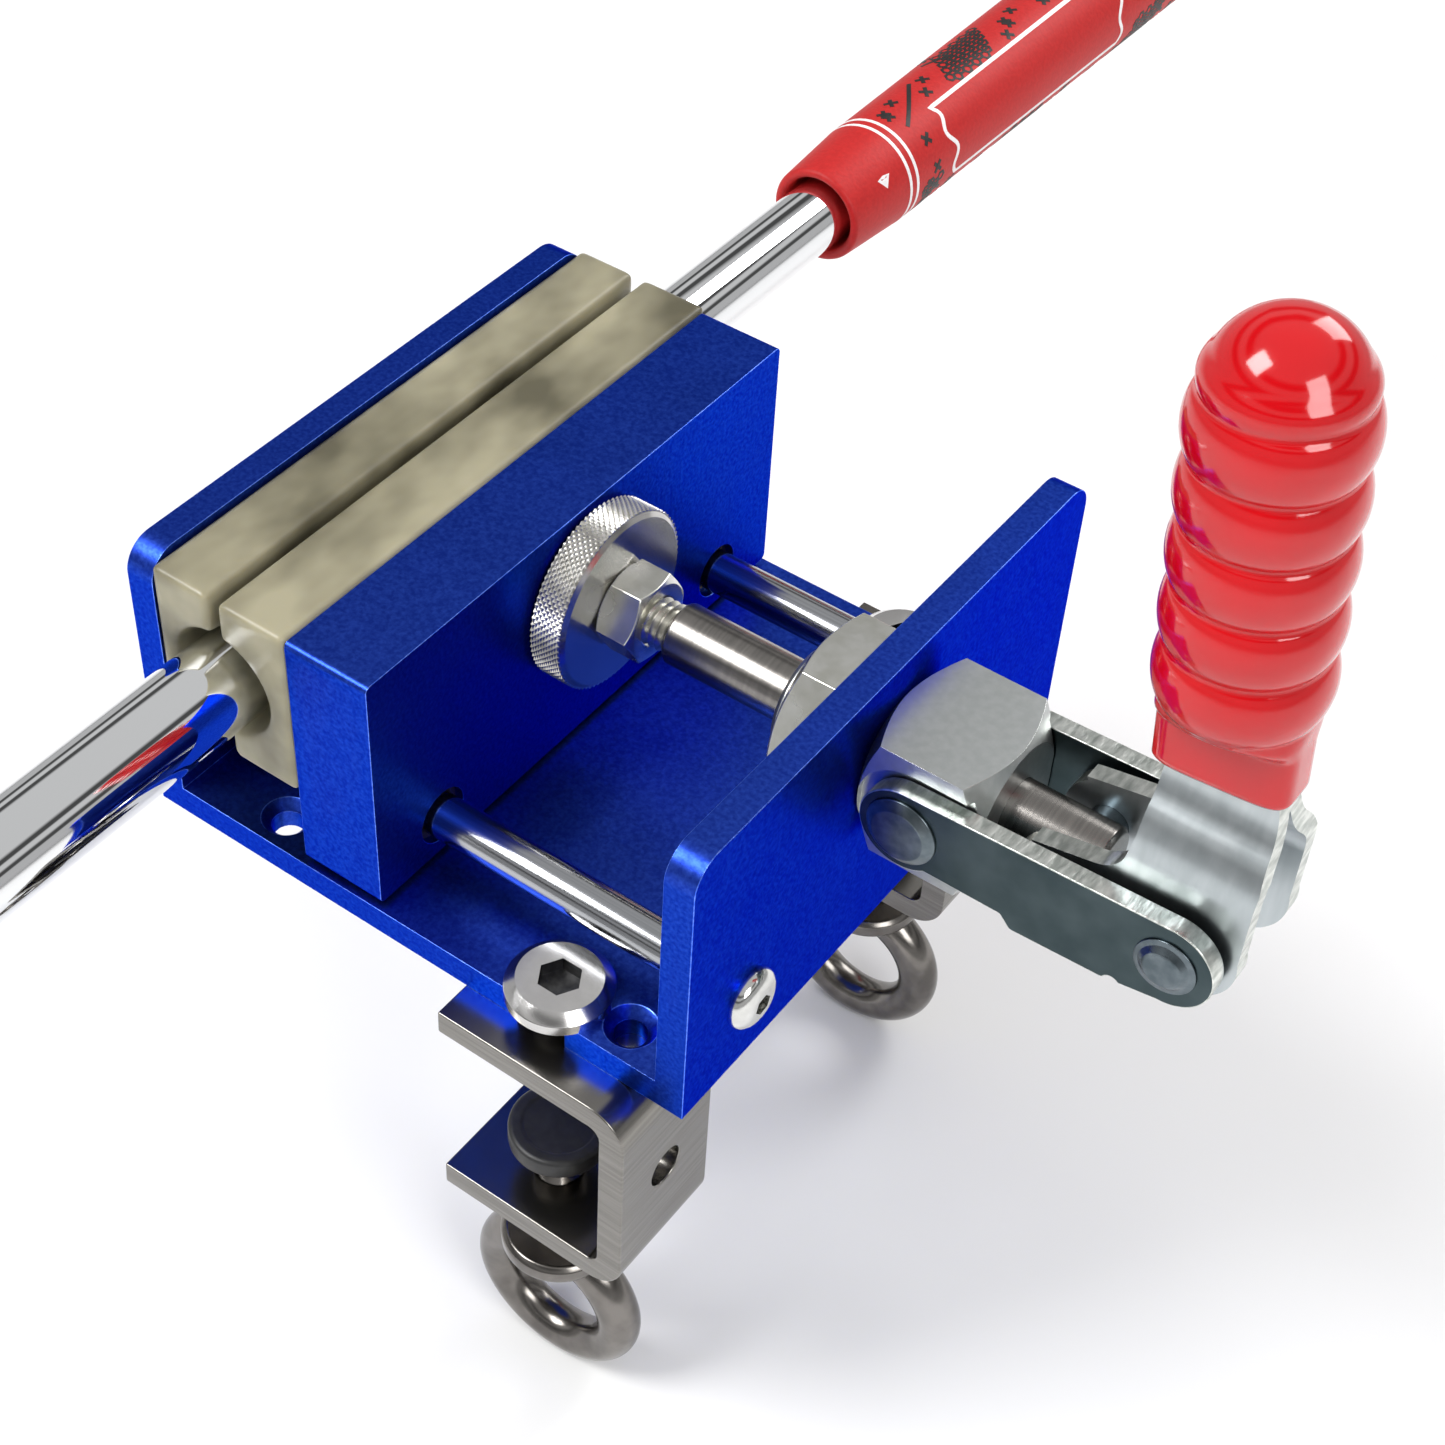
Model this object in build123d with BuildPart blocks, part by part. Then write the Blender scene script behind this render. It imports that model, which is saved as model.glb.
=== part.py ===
# Bench vise for fitting golf grips, with a club shaft and its rubber grip clamped in it.
# +X points along the clamp plunger towards its hand lever, +Y along the club towards the butt
# of the grip, +Z up. The origin is the middle of the base plate's underside. Millimetres.
import os
from math import asin, atan2, cos, degrees, hypot, radians, sin, tan

from build123d import *

os.makedirs("parts", exist_ok=True)

# ---------------------------------------------------------------- clearances
running = 0.05        # radial, a shaft that turns or slides in a bore
gap = 0.3             # between pieces that move past each other
bolt_clearance = 0.35  # radial, a bolt shank in its slot or hole

# ---------------------------------------------------------------- bent U-frame
frame_length = 101.0  # over both walls, X
frame_width = 100.0   # Y
frame_height = 52.0
plate = 5.0           # wall and base thickness
frame_corner = 5.0    # rounding of the walls' upper corners
wall_in = frame_length / 2 - plate

# ---------------------------------------------------------------- jaws and their slide
axis_z = 34.8         # height of the clamp plunger and of the club
block_thick = 15.0
block_height = 44.3
block_width = 99.0
block_lift = 1.0      # block above the base plate
pad_height = 30.4
pad_thick_fixed = 10.7
pad_thick_moving = 12.4
parting = 2.0         # gap between the closed pads
pad_corner = 1.2
groove_flare = 2.0    # how far the groove opens at its ends
flare_length = 7.0
rod_r = 3.5
rod_spacing = 70.0
rod_z = 13.0
bush_wall = 1.2
bush_recess = 1.6     # bush ends behind the block faces
screw_head_r = 5.0
screw_head = 2.6
rod_screw_r = 2.0
rod_screw_depth = 12.0

# ---------------------------------------------------------------- club and grip
shaft_r = 7.1         # below the jaws
shaft_butt_r = 6.1    # under the grip
shaft_wall = 1.1
shaft_near = 104.0    # shaft end, this far in front of the frame's middle
shaft_taper = (-20.0, 35.0)   # where the shaft narrows, Y
grip_mouth_y = 103.0
grip_length = 265.0
mouth_r = 9.8
grip_butt_r = 12.2
mouth_lip = 3.0
tape = 0.25
cap_length = 9.0
cap_r = 14.0
vent_r = 1.6

# ---------------------------------------------------------------- toggle clamp
body_side = 22.3
body_length = 19.4
body_turned = 3.1     # length of the turned chamfer on each end
nose_r = 9.0
nose_length = 16.4
nut_af = 27.0
nut_thick = 8.9
plunger_r = 5.0
plunger_front = 11.9
plunger_back = 85.6
pin_a_x = 59.6        # link pivot on the body
pin_c_x = 81.6        # lever pivot on the plunger
pin_b = (100.6, 36.3)  # link pivot on the lever
lever_open = 95.0     # degrees the lever swings from locked to open
link_thick = 3.0
link_r = 7.0
link_waist = 5.6     # lower edge below the pivot line, near the body
link_belly = 7.6     # and behind its step
link_step = (16.6, 18.4, 32.4)   # where the lower edge steps down, and where it turns up, from A
link_bite = (34.2, 1.3)          # notch in the lower edge: distance from A, radius
rivet_r = 3.0
rivet_head_r = 4.6
rivet_head = 1.3
rivet_a_head_r = 5.6
relief_depth = 1.2
relief_r = 8.7
stub = 2.2            # length of rivet A inside the body's pocket
sheet = 3.0           # lever sheet thickness
lever_gap = 6.0       # half the space between the lever's two sides
lobe_c_r = 7.2
lobe_b_r = 8.2
claw_top = (77.0, 41.2, 43.8)    # claw's upper edge: its first X, and its height there and at the notch
claw_notch_r = 5.0
edge_x = 90.9         # front edge of the two sides above the claws
ear_x = 108.6
neck_x = (90.4, 106.4)
bend_z = (47.0, 61.0)  # where the sides start to lean in, and where they meet
neck_z = 61.0

# ---------------------------------------------------------------- jaw adjuster
stud_r = 4.0
stud_depth = 20.0     # thread inside the plunger
disc_r = 15.0
disc_thick = 6.3
small_nut_af = 13.0
small_nut_thick = 6.8
stud_neck_r = 3.0     # turned end held in the block
clip_r = 4.6
clip_thick = 1.0
clip_recess = 3.0
clip_room = 1.4       # radial space round the clip
stud_set_back = 0.6   # neck end behind the block face

# ---------------------------------------------------------------- lever grip
lever_grip_r = 11.4
lever_lean = 4.9      # degrees the lever grip leans towards the jaws
lever_grip_top = 129.4
lever_grip_x = 97.9   # its axis where it leaves the sheet
lever_grip_bulges = 5
bulge = 0.9
grip_neck = (19.6, 9.4, 13.0)
tang = (15.0, 46.0)

# ---------------------------------------------------------------- table brackets
bracket_width = 22.0
bracket_thick = 4.5
bracket_y = 45.5      # centre of each bracket from the middle
bracket_web_x = 45.2  # outer face of the upright
bracket_reach = 34.2  # flange length measured from the upright's outer face
bracket_drop = 42.4
bend_r = 6.5
side_hole_r = 3.4     # M8 thread core
side_hole_z = -21.0
bolt_x = 25.1
slot_width = 8.7
bolt_head_r = 8.2
bolt_head = 3.2
bolt_r = 4.0
hex_af = 6.0
bench_hole_r = 2.55
bench_hole_head_r = 4.05
bench_hole_x = (-29.0, 37.1)
bench_hole_y = 44.3

# ---------------------------------------------------------------- eye bolts
eye_x = bolt_x
eye_ring_r = 12.4
eye_wire_r = 3.6
eye_collar_r = 9.5
eye_collar = 5.0
eye_collar_top = -54.0
eye_ring_z = -71.8
eye_shank_top = -31.5
eye_tip_r = 2.5
eye_tip = 2.5
eye_pad_r = 8.0
eye_pad = 4.2

# ---------------------------------------------------------------- worked out
base_top = plate
block_x0 = -frame_length / 2 + plate + pad_thick_fixed + parting + pad_thick_moving
block_x1 = block_x0 + block_thick
club_x = -wall_in + pad_thick_fixed + parting / 2
groove_r = shaft_r + gap
pad_z0 = axis_z - pad_height / 2 + 1.0
body_x0 = frame_length / 2
body_x1 = body_x0 + body_length
link_in = body_side / 2 - relief_depth + gap
arm_ab = hypot(pin_b[0] - pin_a_x, pin_b[1] - axis_z)
arm_cb = hypot(pin_b[0] - pin_c_x, pin_b[1] - axis_z)
theta_rest = atan2(pin_b[1] - axis_z, pin_b[0] - pin_c_x)
theta_open = theta_rest - radians(lever_open)
alpha_rest = asin((pin_b[1] - axis_z) / arm_ab)
alpha_open = asin(arm_cb * sin(theta_open) / arm_ab)
stroke = pin_a_x + arm_ab * cos(alpha_open) - arm_cb * cos(theta_open) - pin_c_x
link_turn = degrees(alpha_rest - alpha_open)
grip_end_y = grip_mouth_y + grip_length
print(f"stroke {stroke:.3f} mm, link turn {link_turn:.3f} deg, lever {lever_open} deg")


def pivot_drift(share):
    """How far the link's body pivot wanders when the three motions are proportional."""
    theta = theta_rest - share * radians(lever_open)
    alpha = alpha_rest - share * radians(link_turn)
    x = pin_c_x + share * stroke + arm_cb * cos(theta) - arm_ab * cos(alpha) - pin_a_x
    z = arm_cb * sin(theta) - arm_ab * sin(alpha)
    return x, z


drift = [pivot_drift(step / 20) for step in range(21)]
drift_x = max((x for x, z in drift), key=abs)
drift_z = max((z for x, z in drift), key=abs)
pocket_r = rivet_r + hypot(drift_x, drift_z) / 2 + gap
print(f"pivot drift {drift_x:.2f}, {drift_z:.2f} mm, pocket radius {pocket_r:.2f}")


def save(piece, name):
    """Label a finished piece and write it as one STEP file."""
    piece.part.label = name
    export_step(piece.part, f"parts/{name}.step")


def at(origin, direction):
    """A plane through a point, facing along a direction."""
    return Plane(origin=origin, z_dir=direction)


# ================================================================ U-frame
with BuildPart() as u_frame:
    with BuildSketch(Plane.XZ.offset(-frame_width / 2)) as profile:
        with BuildLine():
            Polyline((-frame_length / 2, 0), (frame_length / 2, 0), (frame_length / 2, frame_height),
                     (wall_in, frame_height), (wall_in, plate), (-wall_in, plate),
                     (-wall_in, frame_height), (-frame_length / 2, frame_height), close=True)
        make_face()
    extrude(amount=frame_width)
    fillet(u_frame.edges().filter_by(Axis.X).group_by(Axis.Z)[-1], frame_corner)
    # slots for the bracket bolts, open at the near and far edges
    for side in (-1, 1):
        with BuildSketch(Plane.XY):
            with Locations((bolt_x, side * bracket_y)):
                Circle(slot_width / 2)
            with Locations((bolt_x, side * (bracket_y + frame_width / 4))):
                Rectangle(slot_width, frame_width / 2)
        extrude(amount=plate, mode=Mode.SUBTRACT)
    # countersunk holes for screwing the frame to a bench
    with Locations(*[(x, side * bench_hole_y, base_top) for x in bench_hole_x for side in (-1, 1)]):
        CounterSinkHole(bench_hole_r, bench_hole_head_r, depth=plate)
    # clamp nose and guide rod screws through the walls
    with BuildSketch(Plane.YZ.offset(wall_in)):
        with Locations((0, axis_z)):
            Circle(nose_r + running)
    extrude(amount=plate, mode=Mode.SUBTRACT)
    with BuildSketch(Plane.YZ.offset(-frame_length / 2)):
        with Locations((-rod_spacing / 2, rod_z), (rod_spacing / 2, rod_z)):
            Circle(rod_screw_r + bolt_clearance)
    extrude(amount=frame_length, mode=Mode.SUBTRACT)
save(u_frame, "u_frame")

# ================================================================ jaw pads
groove_ends = ((-frame_width / 2, 1), (frame_width / 2, -1))


def jaw_pad(x0, x1, rounded_x):
    """A urethane pad with a shaft groove that flares at both ends."""
    with BuildPart() as pad:
        with BuildSketch(Plane.XY.offset(pad_z0)):
            with Locations(((x0 + x1) / 2, 0)):
                Rectangle(x1 - x0, frame_width)
        extrude(amount=pad_height)
        fillet(pad.edges().filter_by(Axis.Y).filter_by(
            lambda edge: abs(edge.center().X - rounded_x) < 0.01), pad_corner)
        with BuildSketch(Plane.XZ.offset(-frame_width / 2)):
            with Locations((club_x, axis_z)):
                Circle(groove_r)
        extrude(amount=frame_width, mode=Mode.SUBTRACT)
        for end_y, inward in groove_ends:
            with BuildSketch(at((club_x, end_y, axis_z), (0, inward, 0))):
                Circle(groove_r + groove_flare)
            with BuildSketch(at((club_x, end_y + inward * flare_length, axis_z), (0, inward, 0))):
                Circle(groove_r)
            loft(mode=Mode.SUBTRACT)
    return pad


fixed_jaw_pad = jaw_pad(-wall_in, -wall_in + pad_thick_fixed, -wall_in + pad_thick_fixed)
save(fixed_jaw_pad, "fixed_jaw_pad")
moving_jaw_pad = jaw_pad(block_x0 - pad_thick_moving, block_x0, block_x0 - pad_thick_moving)
save(moving_jaw_pad, "moving_jaw_pad")

# ================================================================ moving jaw block
block_z0 = base_top + block_lift
bush_r = rod_r + running + bush_wall
with BuildPart() as moving_jaw_block:
    with BuildSketch(Plane.XY.offset(block_z0)):
        with Locations(((block_x0 + block_x1) / 2, 0)):
            Rectangle(block_thick, block_width)
    extrude(amount=block_height)
    fillet(moving_jaw_block.edges().filter_by(Axis.X), 1.0)
    with BuildSketch(Plane.YZ.offset(block_x0)):
        with Locations((-rod_spacing / 2, rod_z), (rod_spacing / 2, rod_z)):
            Circle(bush_r)
        with Locations((0, axis_z)):
            Circle(stud_neck_r + running)
    extrude(amount=block_thick, mode=Mode.SUBTRACT)
    with BuildSketch(Plane.YZ.offset(block_x0)):
        with Locations((0, axis_z)):
            Circle(clip_r + clip_room)
    extrude(amount=clip_recess, mode=Mode.SUBTRACT)
save(moving_jaw_block, "moving_jaw_block")

for side, name in ((-1, "near"), (1, "far")):
    with BuildPart() as block_bush:
        with BuildSketch(Plane.YZ.offset(block_x0 + bush_recess)):
            with Locations((side * rod_spacing / 2, rod_z)):
                Circle(bush_r)
                Circle(rod_r + running, mode=Mode.SUBTRACT)
        extrude(amount=block_thick - 2 * bush_recess)
    save(block_bush, f"guide_bush_{name}")

# ================================================================ guide rods and their screws
for side, name in ((-1, "near"), (1, "far")):
    with BuildPart() as guide_rod:
        with BuildSketch(Plane.YZ.offset(-wall_in)):
            with Locations((side * rod_spacing / 2, rod_z)):
                Circle(rod_r)
        extrude(amount=2 * wall_in)
        chamfer(guide_rod.edges().filter_by(GeomType.CIRCLE), 0.4)
        for end in (-1, 1):
            with BuildSketch(at((end * wall_in, side * rod_spacing / 2, rod_z), (-end, 0, 0))):
                Circle(rod_screw_r)
            extrude(amount=rod_screw_depth, mode=Mode.SUBTRACT)
    save(guide_rod, f"guide_rod_{name}")

for end, name in ((1, "front"), (-1, "back")):
    with BuildPart() as rod_screws:
        for side in (-1, 1):
            seat = (end * frame_length / 2, side * rod_spacing / 2, rod_z)
            with BuildSketch(at(seat, (-end, 0, 0))):
                Circle(rod_screw_r)
            extrude(amount=plate + rod_screw_depth - 1)
            with BuildSketch(at(seat, (end, 0, 0))):
                Circle(screw_head_r)
            extrude(amount=screw_head)
        rims = rod_screws.edges().filter_by(GeomType.CIRCLE).group_by(Axis.X)[-1 if end > 0 else 0]
        fillet(rims, screw_head * 0.75)
        for side in (-1, 1):
            top = (end * (frame_length / 2 + screw_head), side * rod_spacing / 2, rod_z)
            with BuildSketch(at(top, (-end, 0, 0))):
                RegularPolygon(1.5, 6, major_radius=False)
            extrude(amount=1.6, mode=Mode.SUBTRACT)
    save(rod_screws, f"rod_screws_{name}")

# ================================================================ clamp body and its lock nut
turned_r = body_side / 2 * 2 ** 0.5
face_r = turned_r - body_turned / tan(radians(30))
with BuildPart() as clamp_body:
    with BuildSketch(Plane.YZ.offset(body_x0)):
        with Locations((0, axis_z)):
            Rectangle(body_side, body_side)
    extrude(amount=body_length)
    # both ends of the square bar are turned to a 30 degree cone
    with BuildSketch(Plane.XZ):
        with BuildLine():
            Polyline((body_x0, axis_z), (body_x0, axis_z + face_r),
                     (body_x0 + body_turned, axis_z + turned_r),
                     (body_x1 - body_turned, axis_z + turned_r),
                     (body_x1, axis_z + face_r), (body_x1, axis_z), close=True)
        make_face()
    revolve(axis=Axis((0, 0, axis_z), (1, 0, 0)), mode=Mode.INTERSECT)
    with BuildSketch(Plane.YZ.offset(body_x0)):
        with Locations((0, axis_z)):
            Circle(nose_r)
    extrude(amount=-nose_length)
    chamfer(clamp_body.edges().filter_by(GeomType.CIRCLE).sort_by(Axis.X)[0], 0.8)
    with BuildSketch(Plane.YZ.offset(body_x0 - nose_length)):
        with Locations((0, axis_z)):
            Circle(plunger_r + running)
    extrude(amount=nose_length + body_length, mode=Mode.SUBTRACT)
    for side in (-1, 1):
        # relief for the link, open below and behind, and the pocket of the link's pivot
        with BuildSketch(at((pin_a_x, side * body_side / 2, axis_z), (0, -side, 0))):
            Circle(relief_r)
        extrude(amount=relief_depth, mode=Mode.SUBTRACT)
        with BuildSketch(Plane.XY.offset(axis_z - body_side / 2)):
            with Locations(((pin_a_x + body_x1 + 1) / 2, side * (body_side / 2 - relief_depth / 2))):
                Rectangle(body_x1 + 1 - pin_a_x, relief_depth)
        extrude(amount=body_side / 2 + relief_r, mode=Mode.SUBTRACT)
        with BuildSketch(Plane.XY.offset(axis_z - body_side / 2)):
            with Locations((pin_a_x, side * (body_side / 2 - relief_depth / 2))):
                Rectangle(2 * relief_r, relief_depth)
        extrude(amount=body_side / 2, mode=Mode.SUBTRACT)
        pocket = (pin_a_x + drift_x / 2, side * body_side / 2, axis_z + drift_z / 2)
        with BuildSketch(at(pocket, (0, -side, 0))):
            Circle(pocket_r)
        extrude(amount=relief_depth + gap + stub + gap, mode=Mode.SUBTRACT)
save(clamp_body, "clamp_body")

with BuildPart() as body_lock_nut:
    with BuildSketch(Plane.YZ.offset(wall_in - nut_thick)):
        with Locations((0, axis_z)):
            RegularPolygon(nut_af / 2, 6, major_radius=False)
            Circle(nose_r, mode=Mode.SUBTRACT)
    extrude(amount=nut_thick)
    nut_corner_r = nut_af / 3 ** 0.5
    nut_face_r = nut_af / 2 * 0.95
    nut_cone = (nut_corner_r - nut_face_r) * tan(radians(30))
    with BuildSketch(Plane.XZ):
        with BuildLine():
            Polyline((wall_in - nut_thick, axis_z), (wall_in - nut_thick, axis_z + nut_face_r),
                     (wall_in - nut_thick + nut_cone, axis_z + nut_corner_r),
                     (wall_in, axis_z + nut_corner_r), (wall_in, axis_z), close=True)
        make_face()
    revolve(axis=Axis((0, 0, axis_z), (1, 0, 0)), mode=Mode.INTERSECT)
save(body_lock_nut, "body_lock_nut")

# ================================================================ plunger and its lever pin
with BuildPart() as plunger:
    with BuildSketch(Plane.YZ.offset(plunger_front)):
        with Locations((0, axis_z)):
            Circle(plunger_r)
    extrude(amount=plunger_back - plunger_front)
    chamfer(plunger.edges().filter_by(GeomType.CIRCLE), 0.6)
    with BuildSketch(Plane.YZ.offset(plunger_front)):
        with Locations((0, axis_z)):
            Circle(stud_r + running)
    extrude(amount=stud_depth + 6, mode=Mode.SUBTRACT)
    with BuildSketch(Plane.XZ.offset(-plunger_r - 1)):
        with Locations((pin_c_x, axis_z)):
            Circle(rivet_r)
    extrude(amount=2 * plunger_r + 2, mode=Mode.SUBTRACT)
save(plunger, "plunger")

pin_half = lever_gap + sheet - 0.4
with BuildPart() as lever_pin:
    with BuildSketch(Plane.XZ.offset(-pin_half)):
        with Locations((pin_c_x, axis_z)):
            Circle(rivet_r)
    extrude(amount=2 * pin_half)
    chamfer(lever_pin.edges().filter_by(GeomType.CIRCLE), 0.4)
save(lever_pin, "lever_pin")

# ================================================================ links and rivets
for side, name in ((-1, "near"), (1, "far")):
    inner = Plane(origin=(0, side * link_in, 0), x_dir=(1, 0, 0), z_dir=(0, -1, 0))
    with BuildPart() as link:
        with BuildSketch(inner):
            with BuildLine():
                FilletPolyline((pin_a_x, axis_z - link_waist), (pin_a_x + link_step[0], axis_z - link_waist),
                               (pin_a_x + link_step[1], axis_z - link_belly),
                               (pin_a_x + link_step[2], axis_z - link_belly + 0.6),
                               (pin_b[0], pin_b[1] - link_r), radius=0.8)
                Polyline((pin_b[0], pin_b[1] - link_r), (pin_b[0], pin_b[1] + link_r),
                         (pin_a_x, axis_z + link_r), (pin_a_x, axis_z - link_waist))
            make_face()
            with Locations((pin_a_x, axis_z), pin_b):
                Circle(link_r)
            with Locations((pin_a_x + link_bite[0], axis_z - link_belly + 0.3)):
                Circle(link_bite[1], mode=Mode.SUBTRACT)
            with Locations((pin_a_x, axis_z), pin_b):
                Circle(rivet_r, mode=Mode.SUBTRACT)
        extrude(amount=-side * link_thick)
    save(link, f"link_{name}")

for name, centre, head_r, inside in (
        ("body_rivets", (pin_a_x, axis_z), rivet_a_head_r, gap + stub),
        ("lever_rivets", pin_b, rivet_head_r, link_in - lever_gap + 0.6)):
    with BuildPart() as rivets:
        for side in (-1, 1):
            start = (centre[0], side * (link_in - inside), centre[1])
            with BuildSketch(at(start, (0, side, 0))):
                Circle(rivet_r)
            extrude(amount=inside + link_thick)
            with BuildSketch(at((centre[0], side * (link_in + link_thick), centre[1]), (0, side, 0))):
                Circle(head_r)
            extrude(amount=rivet_head)
        heads = rivets.edges().filter_by(GeomType.CIRCLE).group_by(Axis.Y)
        fillet(heads[0] + heads[-1], rivet_head * 0.6)
    save(rivets, name)

# ================================================================ lever of two pressed sides
lever_out = lever_gap + sheet
bend_rise = bend_z[1] - bend_z[0]
bend_mid_r = (lever_gap ** 2 + bend_rise ** 2) / (4 * lever_gap)
bend_angle = degrees(asin(bend_rise / 2 / bend_mid_r))
wide_r = bend_mid_r + sheet / 2
tight_r = bend_mid_r - sheet / 2
seam_z = bend_z[1] - 2.0   # the sides touch above this
lean_dir = (-sin(radians(lever_lean)), 0, cos(radians(lever_lean)))
lean_x = (cos(radians(lever_lean)), 0, sin(radians(lever_lean)))
lean = Plane(origin=(lever_grip_x, 0, neck_z - 0.5), x_dir=lean_x, z_dir=lean_dir)


def neck_top(x):
    """Height of the sheet's shoulder under the leaning grip."""
    return neck_z + (x - lever_grip_x) * tan(radians(lever_lean))


with BuildPart() as lever:
    # side view of one pressed side: claw for the plunger pin, ear for the link rivet, neck
    with BuildSketch(Plane.XZ.offset(-lever_out)):
        with BuildLine():
            FilletPolyline((claw_top[0], claw_top[1]), (edge_x - 1, claw_top[2]),
                           (edge_x, bend_z[0] + 4), (neck_x[0], neck_top(neck_x[0])),
                           radius=claw_notch_r)
            Polyline((neck_x[0], neck_top(neck_x[0])), (neck_x[1], neck_top(neck_x[1])),
                     (ear_x, bend_z[0] + 4), (ear_x, pin_b[1]), (pin_b[0], pin_b[1] - lobe_b_r),
                     (pin_c_x, axis_z - lobe_c_r), (claw_top[0], claw_top[1]))
        make_face()
        with Locations((pin_c_x, axis_z)):
            Circle(lobe_c_r)
        with Locations((pin_b[0], pin_b[1])):
            Circle(lobe_b_r)
    extrude(amount=2 * lever_out)
    # front view: both sides bend in towards each other and meet at the neck
    with BuildSketch(Plane.YZ.offset(pin_c_x - 20)):
        with BuildLine():
            Polyline((0, 0), (lever_out, 0), (lever_out, bend_z[0]))
            low_bend = JernArc((lever_out, bend_z[0]), (0, 1), wide_r, bend_angle)
            JernArc(low_bend @ 1, low_bend % 1, tight_r, -bend_angle)
            Polyline((sheet, bend_z[1]), (sheet, neck_z + 2), (0, neck_z + 2))
            mirror(about=Plane.YZ)
        make_face()
    extrude(amount=60, mode=Mode.INTERSECT)
    with BuildSketch(Plane.YZ.offset(pin_c_x - 20)):
        with BuildLine():
            Polyline((0, 0), (lever_gap, 0), (lever_gap, bend_z[0]))
            low_bend = JernArc((lever_gap, bend_z[0]), (0, 1), tight_r, bend_angle)
            JernArc(low_bend @ 1, low_bend % 1, wide_r, -bend_angle)
            mirror(about=Plane.YZ)
        make_face()
        with Locations((0, seam_z + sheet / 2)):
            Rectangle(sheet, sheet, mode=Mode.SUBTRACT)
    extrude(amount=60, mode=Mode.SUBTRACT)
    # tang inside the lever's grip
    with BuildSketch(lean):
        Rectangle(tang[0], 2 * sheet)
    extrude(amount=tang[1])
    for centre in ((pin_c_x, axis_z), pin_b):
        with BuildSketch(Plane.XZ.offset(-lever_out - 1)):
            with Locations(centre):
                Circle(rivet_r + running)
        extrude(amount=2 * lever_out + 2, mode=Mode.SUBTRACT)
save(lever, "lever")

# ================================================================ lever grip
grip_foot = (lever_grip_x, 0, neck_z)
grip_rise = (lever_grip_top - neck_z) / cos(radians(lever_lean))
bulge_foot = grip_neck[2]
dome_r = lever_grip_r - bulge
bulge_top = grip_rise - dome_r
bulge_step = (bulge_top - bulge_foot) / lever_grip_bulges
with BuildPart() as lever_grip:
    with BuildSketch(Plane(origin=grip_foot, x_dir=lean_x, z_dir=(0, -1, 0))):
        with BuildLine():
            for step in range(lever_grip_bulges):
                low = bulge_foot + step * bulge_step
                Polyline((lever_grip_r - bulge, low), (lever_grip_r, low + bulge_step * 0.3),
                         (lever_grip_r, low + bulge_step * 0.7),
                         (lever_grip_r - bulge, low + bulge_step))
            RadiusArc((lever_grip_r - bulge, bulge_top), (0, grip_rise), -dome_r)
            Polyline((0, grip_rise), (0, bulge_foot - 3), (grip_neck[1] / 2, bulge_foot - 3),
                     (lever_grip_r - bulge, bulge_foot))
        make_face()
    revolve(axis=Axis(grip_foot, lean_dir))
    with BuildSketch(Plane(origin=grip_foot, x_dir=lean_x, z_dir=lean_dir)):
        RectangleRounded(grip_neck[0], grip_neck[1], 2.0)
    extrude(amount=bulge_foot)
    with BuildSketch(lean):
        Rectangle(tang[0], 2 * sheet)
    extrude(amount=tang[1], mode=Mode.SUBTRACT)
save(lever_grip, "lever_grip")

# ================================================================ jaw adjuster
shoulder_x = block_x1 + 0.2
with BuildPart() as adjuster_stud:
    with BuildSketch(Plane.YZ.offset(block_x0 + stud_set_back)):
        with Locations((0, axis_z)):
            Circle(stud_neck_r)
    extrude(amount=shoulder_x - block_x0 - stud_set_back)
    with BuildSketch(Plane.YZ.offset(shoulder_x)):
        with Locations((0, axis_z)):
            Circle(stud_r)
    extrude(amount=plunger_front + stud_depth - shoulder_x)
    chamfer(adjuster_stud.edges().filter_by(GeomType.CIRCLE).sort_by(Axis.X)[-1], 0.8)
save(adjuster_stud, "adjuster_stud")

with BuildPart() as knurled_disc:
    with BuildSketch(Plane.YZ.offset(shoulder_x)):
        with Locations((0, axis_z)):
            Circle(disc_r)
    extrude(amount=disc_thick)
    chamfer(knurled_disc.edges().filter_by(GeomType.CIRCLE), 0.7)
    with BuildSketch(Plane.YZ.offset(shoulder_x)):
        with Locations((0, axis_z)):
            Circle(stud_r)
    extrude(amount=disc_thick, mode=Mode.SUBTRACT)
save(knurled_disc, "knurled_disc")

small_nut_x = shoulder_x + disc_thick
small_corner_r = small_nut_af / 3 ** 0.5
small_face_r = small_nut_af / 2 * 0.95
small_cone = (small_corner_r - small_face_r) * tan(radians(30))
with BuildPart() as disc_lock_nut:
    with BuildSketch(Plane.YZ.offset(small_nut_x)):
        with Locations((0, axis_z)):
            RegularPolygon(small_nut_af / 2, 6, major_radius=False)
            Circle(stud_r, mode=Mode.SUBTRACT)
    extrude(amount=small_nut_thick)
    with BuildSketch(Plane.XZ):
        with BuildLine():
            Polyline((small_nut_x, axis_z), (small_nut_x, axis_z + small_face_r),
                     (small_nut_x + small_cone, axis_z + small_corner_r),
                     (small_nut_x + small_nut_thick - small_cone, axis_z + small_corner_r),
                     (small_nut_x + small_nut_thick, axis_z + small_face_r),
                     (small_nut_x + small_nut_thick, axis_z), close=True)
        make_face()
    revolve(axis=Axis((0, 0, axis_z), (1, 0, 0)), mode=Mode.INTERSECT)
save(disc_lock_nut, "disc_lock_nut")

with BuildPart() as retaining_clip:
    with BuildSketch(Plane.YZ.offset(block_x0 + clip_recess - gap - clip_thick)):
        with Locations((0, axis_z)):
            Circle(clip_r)
            Circle(stud_neck_r, mode=Mode.SUBTRACT)
        with Locations((0, axis_z - clip_r)):
            Rectangle(2.4, clip_r, mode=Mode.SUBTRACT)
    extrude(amount=clip_thick)
save(retaining_clip, "retaining_clip")

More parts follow.
